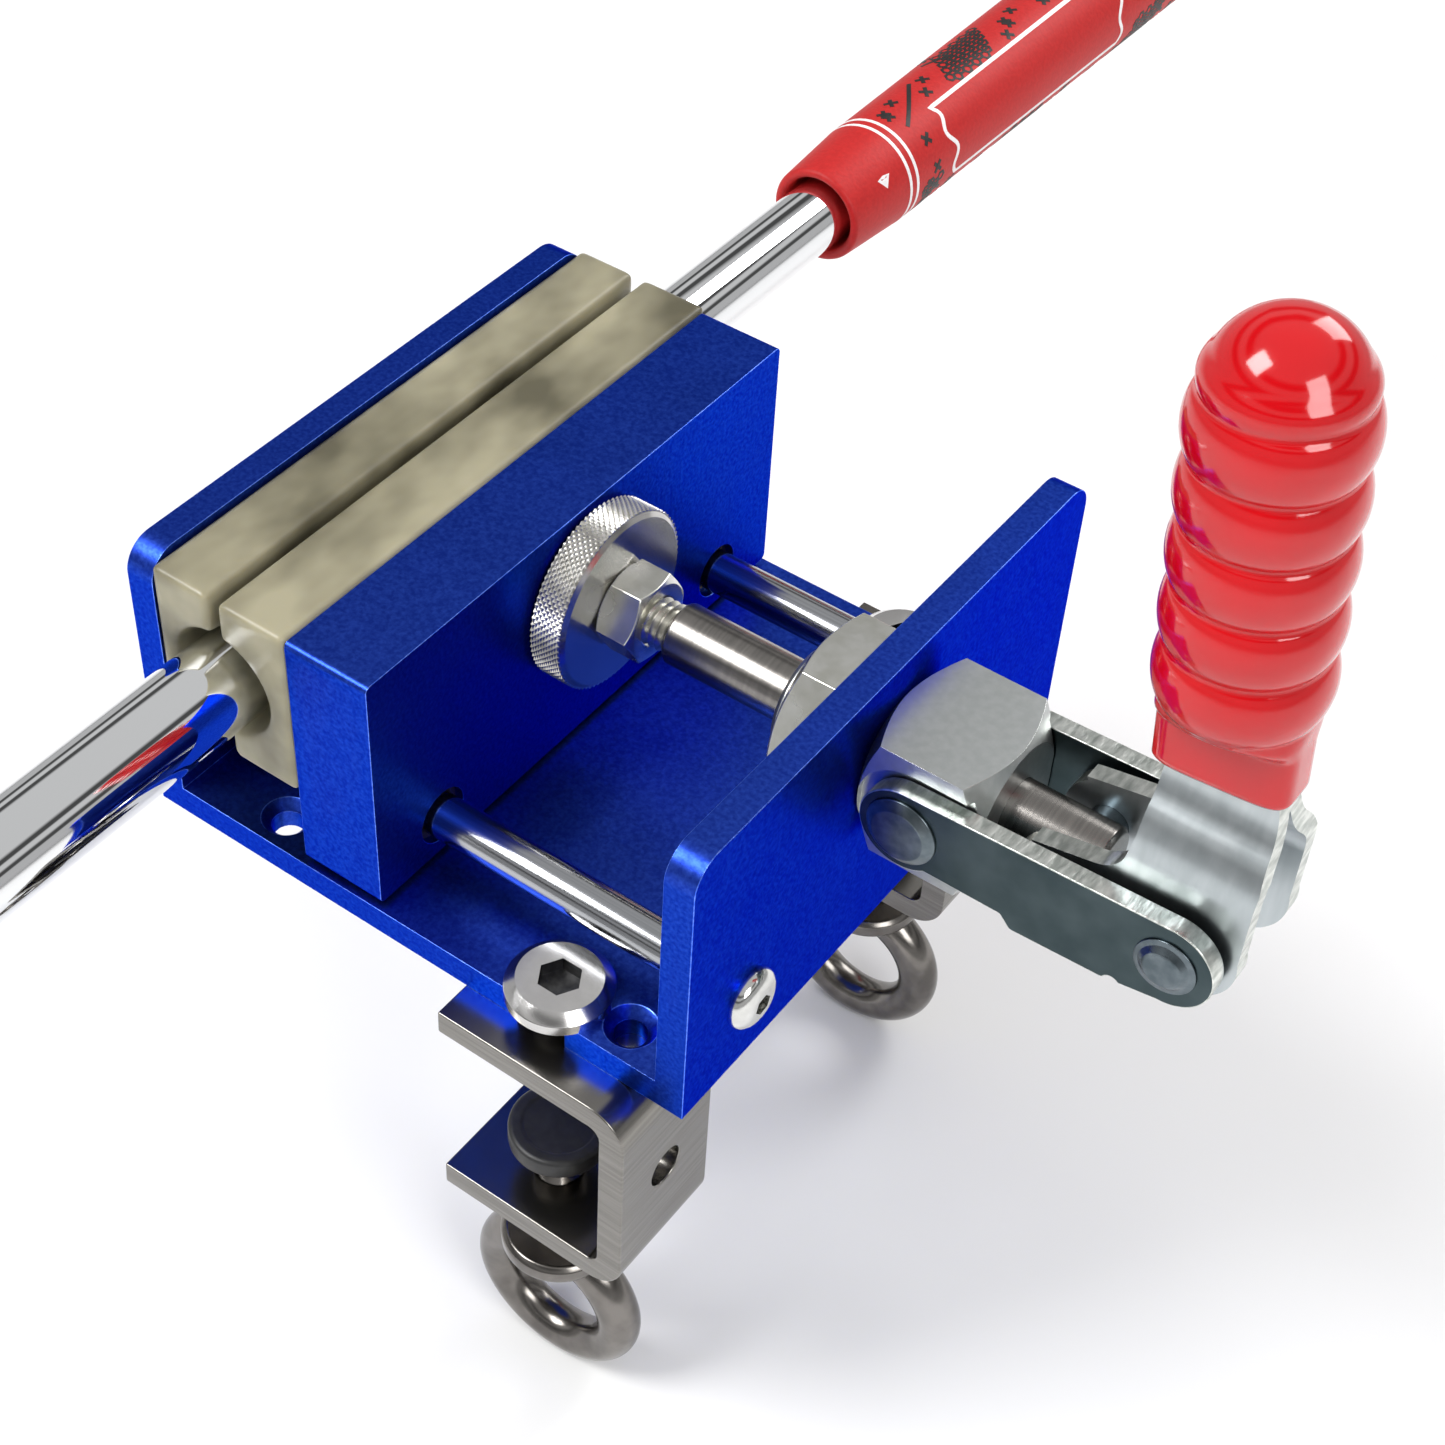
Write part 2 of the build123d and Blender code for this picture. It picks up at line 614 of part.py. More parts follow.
# ================================================================ table brackets and their bolts
bracket_inner_x = bracket_web_x - bracket_thick
bracket_end_x = bracket_web_x - bracket_reach
for side, name in ((-1, "near"), (1, "far")):
    with BuildPart() as bracket:
        with BuildSketch(Plane.XZ.offset(-side * bracket_y - bracket_width / 2)):
            with BuildLine():
                FilletPolyline((bracket_end_x, 0), (bracket_web_x, 0), (bracket_web_x, -bracket_drop),
                               (bracket_end_x, -bracket_drop), radius=bend_r)
                Line((bracket_end_x, -bracket_drop), (bracket_end_x, -bracket_drop + bracket_thick))
                FilletPolyline((bracket_end_x, -bracket_drop + bracket_thick),
                               (bracket_inner_x, -bracket_drop + bracket_thick),
                               (bracket_inner_x, -bracket_thick), (bracket_end_x, -bracket_thick),
                               radius=bend_r - bracket_thick)
                Line((bracket_end_x, -bracket_thick), (bracket_end_x, 0))
            make_face()
        extrude(amount=bracket_width)
        with BuildSketch(Plane.YZ.offset(bracket_inner_x)):
            with Locations((side * bracket_y, side_hole_z)):
                Circle(side_hole_r)
        extrude(amount=bracket_thick, mode=Mode.SUBTRACT)
        with BuildSketch(Plane.XY):
            with Locations((bolt_x, side * bracket_y)):
                Circle(bolt_r)
        extrude(amount=-bracket_thick, mode=Mode.SUBTRACT)
        with BuildSketch(Plane.XY.offset(-bracket_drop)):
            with Locations((eye_x, side * bracket_y)):
                Circle(bolt_r + running)
        extrude(amount=bracket_thick, mode=Mode.SUBTRACT)
    save(bracket, f"bracket_{name}")

    with BuildPart() as bracket_bolt:
        with BuildSketch(Plane.XY.offset(-bracket_thick)):
            with Locations((bolt_x, side * bracket_y)):
                Circle(bolt_r)
        extrude(amount=bracket_thick + base_top)
        with BuildSketch(Plane.XY.offset(base_top)):
            with Locations((bolt_x, side * bracket_y)):
                Circle(bolt_head_r)
        extrude(amount=bolt_head)
        chamfer(bracket_bolt.edges().filter_by(GeomType.CIRCLE).sort_by(Axis.Z)[-1], 1.4)
        with BuildSketch(Plane.XY.offset(base_top + bolt_head)):
            with Locations((bolt_x, side * bracket_y)):
                RegularPolygon(hex_af / 2, 6, major_radius=False)
        extrude(amount=-(bolt_head + 1.0), mode=Mode.SUBTRACT)
    save(bracket_bolt, f"bracket_bolt_{name}")

# ================================================================ eye bolts and their pads
    foot = (eye_x, side * bracket_y)
    with BuildPart() as eye_bolt:
        with BuildSketch(Plane.XY.offset(eye_collar_top - eye_collar)):
            with Locations(foot):
                Circle(eye_collar_r)
        extrude(amount=eye_collar)
        chamfer(eye_bolt.edges().filter_by(GeomType.CIRCLE), 0.8)
        with BuildSketch(Plane.XY.offset(eye_collar_top)):
            with Locations(foot):
                Circle(bolt_r)
        extrude(amount=eye_shank_top - eye_collar_top)
        with BuildSketch(Plane.XY.offset(eye_shank_top)):
            with Locations(foot):
                Circle(eye_tip_r)
        extrude(amount=eye_tip)
        ring_plane = Plane(origin=(eye_x, side * bracket_y, eye_ring_z), x_dir=(1, 0, 0), z_dir=(0, 0, 1))
        with BuildSketch(ring_plane):
            with Locations((eye_ring_r, 0)):
                Circle(eye_wire_r)
        revolve(axis=Axis((eye_x, side * bracket_y, eye_ring_z), (0, 1, 0)))
    save(eye_bolt, f"eye_bolt_{name}")

    with BuildPart() as pressure_pad:
        with BuildSketch(Plane.XY.offset(eye_shank_top + gap)):
            with Locations(foot):
                Circle(eye_pad_r)
        extrude(amount=eye_pad)
        chamfer(pressure_pad.edges().filter_by(GeomType.CIRCLE), 0.6)
        with BuildSketch(Plane.XY.offset(eye_shank_top + gap)):
            with Locations(foot):
                Circle(eye_tip_r + running)
        extrude(amount=eye_tip, mode=Mode.SUBTRACT)
    save(pressure_pad, f"pressure_pad_{name}")

# ================================================================ club shaft and its tape
club_axis = Axis((club_x, 0, axis_z), (0, 1, 0))
club_plane = Plane(origin=(club_x, 0, axis_z), x_dir=(1, 0, 0), z_dir=(0, 0, 1))
shaft_end_y = grip_end_y - cap_length - 1.5
with BuildPart() as club_shaft:
    with BuildSketch(club_plane):
        with BuildLine():
            Polyline((shaft_r - shaft_wall, -shaft_near), (shaft_r, -shaft_near),
                     (shaft_r, shaft_taper[0]), (shaft_butt_r, shaft_taper[1]),
                     (shaft_butt_r, shaft_end_y), (shaft_butt_r - shaft_wall, shaft_end_y),
                     (shaft_butt_r - shaft_wall, shaft_taper[1]),
                     (shaft_r - shaft_wall, shaft_taper[0]), close=True)
        make_face()
    revolve(axis=club_axis)
save(club_shaft, "club_shaft")

tape_start = grip_mouth_y + flare_length + 6.0
with BuildPart() as grip_tape:
    with BuildSketch(Plane(origin=(club_x, tape_start, axis_z), z_dir=(0, 1, 0))):
        Circle(shaft_butt_r + tape)
        Circle(shaft_butt_r, mode=Mode.SUBTRACT)
    extrude(amount=shaft_end_y - 0.5 - tape_start)
save(grip_tape, "grip_tape")

# ================================================================ golf grip and its butt cap
bore_r = shaft_butt_r + tape + running
tube_end_y = grip_end_y - cap_length
with BuildPart() as golf_grip:
    with BuildSketch(club_plane):
        with BuildLine():
            Polyline((mouth_r - 1.6, grip_mouth_y), (mouth_r, grip_mouth_y),
                     (mouth_r + 0.5, grip_mouth_y + mouth_lip),
                     (grip_butt_r, tube_end_y), (bore_r, tube_end_y),
                     (bore_r, grip_mouth_y + 12), close=True)
        make_face()
    revolve(axis=club_axis)
save(golf_grip, "golf_grip")

with BuildPart() as grip_end_cap:
    with BuildSketch(club_plane):
        with BuildLine():
            Polyline((vent_r, tube_end_y), (grip_butt_r, tube_end_y), (cap_r, tube_end_y + 3.5))
            ThreePointArc((cap_r, tube_end_y + 3.5), (cap_r * 0.72, tube_end_y + cap_length - 1.6),
                          (vent_r, grip_end_y))
            Line((vent_r, grip_end_y), (vent_r, tube_end_y))
        make_face()
    revolve(axis=club_axis)
save(grip_end_cap, "grip_end_cap")
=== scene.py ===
"""Looks for a bench vise that holds a golf club while its rubber grip is fitted. Lengths in metres."""
import math

import bmesh
import bpy
from mathutils import Matrix, Vector


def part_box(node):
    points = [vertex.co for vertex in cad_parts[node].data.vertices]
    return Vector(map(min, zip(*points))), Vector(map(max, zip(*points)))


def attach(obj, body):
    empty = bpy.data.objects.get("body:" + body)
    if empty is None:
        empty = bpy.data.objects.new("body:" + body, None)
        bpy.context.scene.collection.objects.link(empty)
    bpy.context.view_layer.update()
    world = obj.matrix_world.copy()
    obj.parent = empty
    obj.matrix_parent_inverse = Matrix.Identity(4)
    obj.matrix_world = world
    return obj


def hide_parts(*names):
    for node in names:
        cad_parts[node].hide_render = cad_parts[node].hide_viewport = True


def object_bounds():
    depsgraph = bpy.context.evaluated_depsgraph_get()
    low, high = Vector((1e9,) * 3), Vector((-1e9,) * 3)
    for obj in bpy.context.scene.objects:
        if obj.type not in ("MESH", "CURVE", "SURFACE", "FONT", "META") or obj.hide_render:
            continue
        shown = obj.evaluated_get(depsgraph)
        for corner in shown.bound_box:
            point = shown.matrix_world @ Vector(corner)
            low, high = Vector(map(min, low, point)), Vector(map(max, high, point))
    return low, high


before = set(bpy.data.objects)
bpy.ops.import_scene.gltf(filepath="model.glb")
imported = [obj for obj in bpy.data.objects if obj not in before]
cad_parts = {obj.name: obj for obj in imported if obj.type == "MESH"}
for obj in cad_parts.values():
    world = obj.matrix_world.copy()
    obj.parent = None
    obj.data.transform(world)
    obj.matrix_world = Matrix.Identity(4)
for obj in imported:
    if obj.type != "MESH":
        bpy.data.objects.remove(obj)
cad_low, cad_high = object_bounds()
mm = 0.001


# ------------ bent U-frame
# One piece of 5 mm aluminium plate, sawn, bent twice, drilled, bead blasted and anodised blue.
# Its corners are broken by hand; their small bevels take a paler blue, a painted highlight for the thin pale
# lines where they catch the light.
def shader_group(name, inputs, outputs):
    """A new shader node group; inputs and outputs are (name, socket kind, default)."""
    group = bpy.data.node_groups.new(name, "ShaderNodeTree")
    for label, kind, default in inputs:
        socket = group.interface.new_socket(label, in_out="INPUT", socket_type=kind)
        socket.default_value = default
    for label, kind in outputs:
        group.interface.new_socket(label, in_out="OUTPUT", socket_type=kind)
    return group, group.nodes.new("NodeGroupInput").outputs, group.nodes.new("NodeGroupOutput").inputs


def add_node(tree, kind, **settings):
    """A node whose inputs are given by socket name as numbers or as sockets to link."""
    node = tree.nodes.new(kind)
    for key, value in settings.items():
        if hasattr(node, key):
            setattr(node, key, value)
            continue
        socket = node.inputs[key.replace("_", " ")]
        if isinstance(value, bpy.types.NodeSocket):
            tree.links.new(value, socket)
        else:
            socket.default_value = value
    return node


def maths(tree, operation, *values):
    """One math node, which works in shader and geometry trees alike."""
    node = tree.nodes.new("ShaderNodeMath")
    node.operation = operation
    for socket, value in zip(node.inputs, values):
        if isinstance(value, bpy.types.NodeSocket):
            tree.links.new(value, socket)
        else:
            socket.default_value = value
    return node.outputs[0]


worked_surface, given, result = shader_group(
    "worked surface",
    [("Colour", "NodeSocketColor", (0.5, 0.5, 0.5, 1)), ("Tint", "NodeSocketColor", (0.6, 0.6, 0.6, 1)),
     ("Stretch", "NodeSocketVector", (900, 900, 900)), ("Depth", "NodeSocketFloat", 0.00001),
     ("Roughness", "NodeSocketFloat", 0.3), ("Spread", "NodeSocketFloat", 0.1)],
    [("Colour", "NodeSocketColor"), ("Roughness", "NodeSocketFloat"), ("Normal", "NodeSocketVector")])
place = add_node(worked_surface, "ShaderNodeTexCoord").outputs["Object"]
scaled = add_node(worked_surface, "ShaderNodeVectorMath", operation="MULTIPLY")
worked_surface.links.new(place, scaled.inputs[0])
worked_surface.links.new(given["Stretch"], scaled.inputs[1])
fine = add_node(worked_surface, "ShaderNodeTexNoise", Vector=scaled.outputs[0], Scale=1.0, Detail=3.0)
handled = add_node(worked_surface, "ShaderNodeTexNoise", Vector=place, Scale=90.0, Detail=4.0)
contrast = add_node(worked_surface, "ShaderNodeMapRange", Value=fine.outputs[0])
contrast.inputs["From Min"].default_value = 0.35
contrast.inputs["From Max"].default_value = 0.68
blend = add_node(worked_surface, "ShaderNodeMix", data_type="RGBA")
worked_surface.links.new(contrast.outputs[0], blend.inputs["Factor"])
worked_surface.links.new(given["Colour"], blend.inputs[6])
worked_surface.links.new(given["Tint"], blend.inputs[7])
worked_surface.links.new(blend.outputs[2], result["Colour"])
swing = maths(worked_surface, "SUBTRACT", handled.outputs[0], 0.5)
swing = maths(worked_surface, "MULTIPLY", swing, given["Spread"])
worked_surface.links.new(maths(worked_surface, "ADD", given["Roughness"], swing), result["Roughness"])
bump = add_node(worked_surface, "ShaderNodeBump", Height=fine.outputs[0], Distance=given["Depth"])
worked_surface.links.new(bump.outputs[0], result["Normal"])


def finish(name, colour, tint, stretch, depth, roughness, spread, metallic=1.0, **shader_values):
    """A material of one worked surface: even values sit on the shader, the rest comes from the group."""
    material = bpy.data.materials.new(name)
    material.use_nodes = True
    tree = material.node_tree
    shader = tree.nodes["Principled BSDF"]
    shader.inputs["Metallic"].default_value = metallic
    for key, value in shader_values.items():
        shader.inputs[key.replace("_", " ")].default_value = value
    surface = add_node(tree, "ShaderNodeGroup", node_tree=worked_surface)
    for key, value in (("Colour", (*colour, 1)), ("Tint", (*tint, 1)), ("Stretch", stretch),
                       ("Depth", depth), ("Roughness", roughness), ("Spread", spread)):
        surface.inputs[key].default_value = value
    tree.links.new(surface.outputs["Colour"], shader.inputs["Base Color"])
    tree.links.new(surface.outputs["Roughness"], shader.inputs["Roughness"])
    tree.links.new(surface.outputs["Normal"], shader.inputs["Normal"])
    return material


def shown(mesh, name, body, slot, nodes, *materials):
    """A finished piece: its object at the origin, riding on its body in place of its CAD nodes."""
    piece = bpy.data.objects.new(name, mesh)
    bpy.context.scene.collection.objects.link(piece)
    for material in materials:
        if material.name not in mesh.materials:
            mesh.materials.append(material)
    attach(piece, body)
    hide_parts(*nodes)
    return piece


def merged_copy(node):
    """A copy of a CAD node's mesh with its corners joined and its flat faces made whole."""
    shell = bmesh.new()
    shell.from_mesh(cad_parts[node].data)
    bmesh.ops.remove_doubles(shell, verts=shell.verts, dist=0.002 * mm)
    flat = math.radians(0.4)
    bmesh.ops.dissolve_limit(shell, angle_limit=flat, verts=shell.verts, edges=shell.edges)
    return shell


def as_mesh(shell, name):
    """A bmesh made a smooth shaded mesh."""
    mesh = bpy.data.meshes.new(name)
    shell.to_mesh(mesh)
    shell.free()
    if "custom_normal" in mesh.attributes:
        mesh.attributes.remove(mesh.attributes["custom_normal"])
    mesh.shade_smooth()
    return mesh


def break_edges(piece, width, sharper_than=30, edge_slot=-1):
    """A small bevel on the piece's sharp edges, with the faces between them left flat."""
    bevel = piece.modifiers.new("broken edges", "BEVEL")
    bevel.width = width
    bevel.segments = 2
    bevel.limit_method = "ANGLE"
    bevel.angle_limit = math.radians(sharper_than)
    bevel.material = edge_slot
    shading = piece.modifiers.new("flat faces", "WEIGHTED_NORMAL")
    shading.weight = 100
    shading.keep_sharp = True


anodised_colour = (0.014, 0.042, 0.37)
anodised_tint = (0.028, 0.078, 0.52)
bead_blast = (1500, 1500, 1500)
blue = finish("blue anodised aluminium", anodised_colour, anodised_tint, bead_blast, 0.02 * mm,
              0.36, 0.12, Specular_Tint=(0.20, 0.27, 0.85, 1))
# The paler blue on the bevel faces is a painted highlight, not a different finish.
blue_edge_painted_highlight = finish("blue anodised edge painted highlight", (0.06, 0.16, 0.85), (0.18, 0.32, 0.95), bead_blast, 0.01 * mm,
                   0.3, 0.1, Specular_Tint=(0.3, 0.4, 1, 1))
frame_piece = shown(as_mesh(merged_copy("u_frame"), "blue U-frame"), "frame_bent_plate", "vise_frame",
                    "blue_anodised", ["u_frame"], blue, blue_edge_painted_highlight)
# Its bevel faces take the painted highlight blue.
break_edges(frame_piece, 0.22 * mm, edge_slot=1)

# ------------ moving jaw block
# A sawn and milled aluminium bar, bead blasted and anodised in the same blue.
# It slides along the guide rods on two bronze bushes.
jaw_block = shown(as_mesh(merged_copy("moving_jaw_block"), "jaw block"), "jaw_block", "jaw_carriage",
                  "blue_anodised", ["moving_jaw_block"], blue, blue_edge_painted_highlight)
# Its bevel faces also take the painted highlight blue.
break_edges(jaw_block, 0.2 * mm, edge_slot=1)


# ------------ guide rods, bushes and screws
# Two ground and polished steel rods between the walls, each held by a socket screw at both ends.
# The bronze bushes sit just inside the block.
def spun(name, section, centre, axis, turns=96, closed=False):
    """A solid of revolution about a line. section(angle) gives (along, radius) points, so the outline
    may change round the axis, as it does on a hexagon. Radius 0 is a point on the axis."""
    axis = Vector(axis).normalized()
    across = Vector((0, 0, 1)) if abs(axis.z) < 0.9 else Vector((1, 0, 0))
    across = (across - axis * across.dot(axis)).normalized()
    third = axis.cross(across)
    shell = bmesh.new()
    rings = []
    poles = {}
    for turn in range(turns):
        angle = 2 * math.pi * turn / turns
        ring = []
        for index, (along, radius) in enumerate(section(angle)):
            if radius < 1e-7:
                if index not in poles:
                    poles[index] = shell.verts.new(Vector(centre) + axis * along)
                ring.append(poles[index])
                continue
            out = across * math.cos(angle) + third * math.sin(angle)
            ring.append(shell.verts.new(Vector(centre) + axis * along + out * radius))
        rings.append(ring)
    count = len(rings[0])
    for turn in range(turns):
        here, there = rings[turn], rings[(turn + 1) % turns]
        for index in range(count if closed else count - 1):
            follow = (index + 1) % count
            corners = []
            for vert in (here[index], here[follow], there[follow], there[index]):
                if vert not in corners:
                    corners.append(vert)
            if len(corners) > 2:
                shell.faces.new(corners)
    bmesh.ops.recalc_face_normals(shell, faces=shell.faces)
    mesh = as_mesh(shell, name)
    mesh.set_sharp_from_angle(angle=math.radians(35))
    return mesh


def rounded(points, radius, steps=3):
    """An outline of (along, radius) points with its inner corners rounded."""
    made = [points[0]]
    for before, corner, after in zip(points, points[1:], points[2:]):
        corner, before, after = Vector(corner), Vector(before), Vector(after)
        back, ahead = before - corner, after - corner
        reach = min(radius, back.length * 0.45, ahead.length * 0.45)
        start, end = corner + back.normalized() * reach, corner + ahead.normalized() * reach
        for step in range(steps + 1):
            share = step / steps
            made.append(tuple(start.lerp(corner, share).lerp(corner.lerp(end, share), share)))
    return [*made, points[-1]]


def joined(meshes, name):
    """Several meshes as one."""
    shell = bmesh.new()
    for mesh in meshes:
        shell.from_mesh(mesh)
    mesh = bpy.data.meshes.new(name)
    shell.to_mesh(mesh)
    shell.free()
    return mesh


rod_steel = finish("ground guide rod steel", (0.34, 0.35, 0.37), (0.42, 0.43, 0.45), (30, 2600, 2600),
                   0.003 * mm, 0.16, 0.08)
bush_bronze = finish("bush bronze", (0.42, 0.30, 0.16), (0.55, 0.42, 0.25), (2500, 300, 300), 0.006 * mm,
                     0.35, 0.15)
screw_chrome = finish("nickel plated screw", (0.62, 0.62, 0.60), (0.72, 0.72, 0.70), (500, 500, 500),
                      0.004 * mm, 0.14, 0.12)
for side in ("near", "far"):
    low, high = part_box(f"guide_rod_{side}")
    centre = ((low.x + high.x) / 2, (low.y + high.y) / 2, (low.z + high.z) / 2)
    half, rod_r = (high.x - low.x) / 2, (high.y - low.y) / 2
    outline = rounded([(-half, 0), (-half, rod_r), (half, rod_r), (half, 0)], 0.4 * mm)
    shown(spun("guide rod", lambda angle: outline, centre, (1, 0, 0)), f"rod_{side}", "vise_frame",
          "ground_steel", [f"guide_rod_{side}"], rod_steel)
    low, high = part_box(f"guide_bush_{side}")
    centre = (0, (low.y + high.y) / 2, (low.z + high.z) / 2)
    bush_r, bore_r = (high.y - low.y) / 2, rod_r + 0.05 * mm
    outline = [(low.x, bore_r + 0.4 * mm), (low.x, bush_r), (high.x, bush_r), (high.x, bore_r + 0.4 * mm),
               (high.x - 0.4 * mm, bore_r), (low.x + 0.4 * mm, bore_r)]
    shown(spun("bush", lambda angle: outline, centre, (1, 0, 0), closed=True), f"bush_{side}",
          "jaw_carriage", "bush_bronze", [f"guide_bush_{side}"], bush_bronze)


def geometry_group(name, inputs):
    """A new geometry node group with named inputs and one geometry output."""
    group = bpy.data.node_groups.new(name, "GeometryNodeTree")
    for label, kind, default in inputs:
        socket = group.interface.new_socket(label, in_out="INPUT", socket_type=kind)
        if default is not None:
            socket.default_value = default
    group.interface.new_socket("Geometry", in_out="OUTPUT", socket_type="NodeSocketGeometry")
    return group, group.nodes.new("NodeGroupInput").outputs, group.nodes.new("NodeGroupOutput").inputs


def grid_place(tree, columns, bands):
    """The column and band that each point of a unit grid is in."""
    position = add_node(tree, "GeometryNodeInputPosition").outputs[0]
    spot = add_node(tree, "ShaderNodeSeparateXYZ", Vector=position)
    return [maths(tree, "ROUND", maths(tree, "MULTIPLY", maths(tree, "ADD", spot.outputs[axis], 0.5), count))
            for axis, count in ((0, columns), (1, bands))]


def wound_on(tree, sheet, along, radius, angle):
    """The sheet with its points set round the X axis, at a radius and an angle."""
    place = add_node(tree, "ShaderNodeCombineXYZ", X=along,
                     Y=maths(tree, "MULTIPLY", radius, maths(tree, "SINE", angle)),
                     Z=maths(tree, "MULTIPLY", radius, maths(tree, "COSINE", angle)))
    return add_node(tree, "GeometryNodeSetPosition", Geometry=sheet, Position=place.outputs[0]).outputs[0]


def give(tree, geometry, given, result):
    """Ends a geometry node group: instances made real, then the finish set."""
    solid = add_node(tree, "GeometryNodeRealizeInstances", Geometry=geometry)
    coated = add_node(tree, "GeometryNodeSetMaterial", Geometry=solid.outputs[0], Material=given["Finish"])
    tree.links.new(coated.outputs[0], result["Geometry"])


def grown(name, group, values, base=None):
    """The plain mesh that a geometry node group makes from the given input values."""
    holder = bpy.data.objects.new(name, base or bpy.data.meshes.new(name))
    bpy.context.scene.collection.objects.link(holder)
    modifier = holder.modifiers.new(name, "NODES")
    modifier.node_group = group
    for item in group.interface.items_tree:
        if item.in_out == "INPUT" and item.name in values:
            modifier[item.identifier] = values[item.name]
    bpy.context.view_layer.update()
    evaluated = holder.evaluated_get(bpy.context.evaluated_depsgraph_get())
    mesh = bpy.data.meshes.new_from_object(evaluated)
    bpy.data.objects.remove(holder)
    mesh.name = name
    return mesh


def socket_head(across, head_r, head, dome):
    """Outline of a round head with a hexagon socket: along is height above the seat."""
    def section(angle):
        turned = (angle % (math.pi / 3)) - math.pi / 6
        hexagon = across / 2 / math.cos(turned)
        return [(0, 0), (0, head_r), *dome, (head, across / 2 * 1.2), (head - 0.01 * mm, hexagon),
                (head * 0.25, hexagon), (head * 0.1, 0)]
    return section


# Geometry nodes put one screw at each rod end from a single head, and turn each a little.
screw_set, given, result = geometry_group(
    "screws at rod ends",
    [("Screw", "NodeSocketObject", None), ("Spacing", "NodeSocketFloat", 0.07),
     ("Finish", "NodeSocketMaterial", None)])
row = add_node(screw_set, "GeometryNodeMeshLine", mode="END_POINTS", Count=2)
offset = add_node(screw_set, "ShaderNodeCombineXYZ", Y=given["Spacing"])
screw_set.links.new(offset.outputs[0], row.inputs["Offset"])
screw = add_node(screw_set, "GeometryNodeObjectInfo", Object=given["Screw"])
turn = add_node(screw_set, "FunctionNodeRandomValue", data_type="FLOAT", Seed=4)
turn.inputs[3].default_value = 1.0
spin = add_node(screw_set, "ShaderNodeCombineXYZ", X=turn.outputs[1])
copies = add_node(screw_set, "GeometryNodeInstanceOnPoints", Points=row.outputs[0],
                  Instance=screw.outputs["Geometry"], Rotation=spin.outputs[0])
give(screw_set, copies.outputs[0], given, result)

for end, body_end in (("front", 1), ("back", -1)):
    low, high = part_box(f"rod_screws_{end}")
    head = 2.6 * mm
    head_r = (high.z - low.z) / 2
    seat_x = high.x - head if body_end > 0 else low.x + head
    dome = [(head * 0.28, head_r), (head * 0.55, head_r * 0.93), (head * 0.8, head_r * 0.78),
            (head * 0.96, head_r * 0.58)]
    one = spun("rod screw", socket_head(3 * mm, head_r, head, dome), (0, 0, 0), (body_end, 0, 0), turns=72)
    shank_r = 2 * mm
    length = (high.x - low.x) - head
    shank = rounded([(0, 0), (0, shank_r), (-length, shank_r), (-length, 0)], 0.5 * mm)
    shank_mesh = spun("screw shank", lambda angle: shank, (0, 0, 0), (body_end, 0, 0), turns=48)
    pattern = bpy.data.objects.new("one rod screw", joined([one, shank_mesh], "one rod screw"))
    spacing = (high.y - low.y) - 2 * head_r
    pair = grown("rod screws", screw_set, {"Screw": pattern, "Spacing": spacing, "Finish": screw_chrome})
    bpy.data.objects.remove(pattern)
    pair.transform(Matrix.Translation((seat_x, low.y + head_r, (low.z + high.z) / 2)))
    shown(pair, f"screws_{end}", "vise_frame", "chrome_screws", [f"rod_screws_{end}"], screw_chrome)

# ------------ jaw pads
# Two cast urethane pads, cloudy amber and soft at every corner, with a groove for the shaft.
# One is fixed to the frame's wall and the other rides on the moving block.
urethane = finish("cloudy urethane", (0.11, 0.10, 0.063), (0.38, 0.35, 0.24), (70, 42, 70), 0.15 * mm,
                  0.34, 0.1, metallic=0.0, Subsurface_Weight=0.45, Subsurface_Scale=0.004,
                  Subsurface_Radius=(1.0, 0.85, 0.5), Transmission_Weight=0.12, IOR=1.48)
for node, body in (("fixed_jaw_pad", "vise_frame"), ("moving_jaw_pad", "jaw_carriage")):
    pad = shown(as_mesh(merged_copy(node), "cast pad"), node.replace("jaw_pad", "pad_cast"), body,
                "urethane", [node], urethane)
    voxels = pad.modifiers.new("cast skin", "REMESH")
    voxels.mode = "VOXEL"
    voxels.voxel_size = 0.55 * mm
    voxels.use_smooth_shade = True
    relax = pad.modifiers.new("soft corners", "SMOOTH")
    relax.factor = 0.6
    relax.iterations = 5


# ------------ jaw adjuster
# An M8 steel stud screws into the plunger; a knurled disc turns it and a plain nut locks the disc.
# Diamond knurl: rolled rows of small pyramids round the rim.
knurl, given, result = geometry_group(
    "diamond knurl",
    [("Radius", "NodeSocketFloat", 0.015), ("Width", "NodeSocketFloat", 0.005),
     ("Depth", "NodeSocketFloat", 0.0004), ("Around", "NodeSocketInt", 80), ("Rows", "NodeSocketInt", 5),
     ("Finish", "NodeSocketMaterial", None)])
columns = maths(knurl, "MULTIPLY", given["Around"], 2)
bands = maths(knurl, "MULTIPLY", given["Rows"], 2)
sheet = add_node(knurl, "GeometryNodeMeshGrid", Vertices_X=maths(knurl, "ADD", columns, 1),
                 Vertices_Y=maths(knurl, "ADD", bands, 1))
column, band = grid_place(knurl, columns, bands)
odd = maths(knurl, "MODULO", maths(knurl, "ADD", column, band), 2)
inner = maths(knurl, "MULTIPLY", maths(knurl, "SUBTRACT", 1, odd), given["Depth"])
radius = maths(knurl, "SUBTRACT", given["Radius"], inner)
angle = maths(knurl, "MULTIPLY", maths(knurl, "DIVIDE", column, columns), 2 * math.pi)
along = maths(knurl, "MULTIPLY", maths(knurl, "DIVIDE", band, bands), given["Width"])
moved = wound_on(knurl, sheet.outputs[0], along, radius, angle)
closed = add_node(knurl, "GeometryNodeMergeByDistance", Geometry=moved, Distance=0.01 * mm)
cut = add_node(knurl, "GeometryNodeTriangulate", Mesh=closed.outputs[0], quad_method="SHORTEST_DIAGONAL")
give(knurl, cut.outputs[0], given, result)

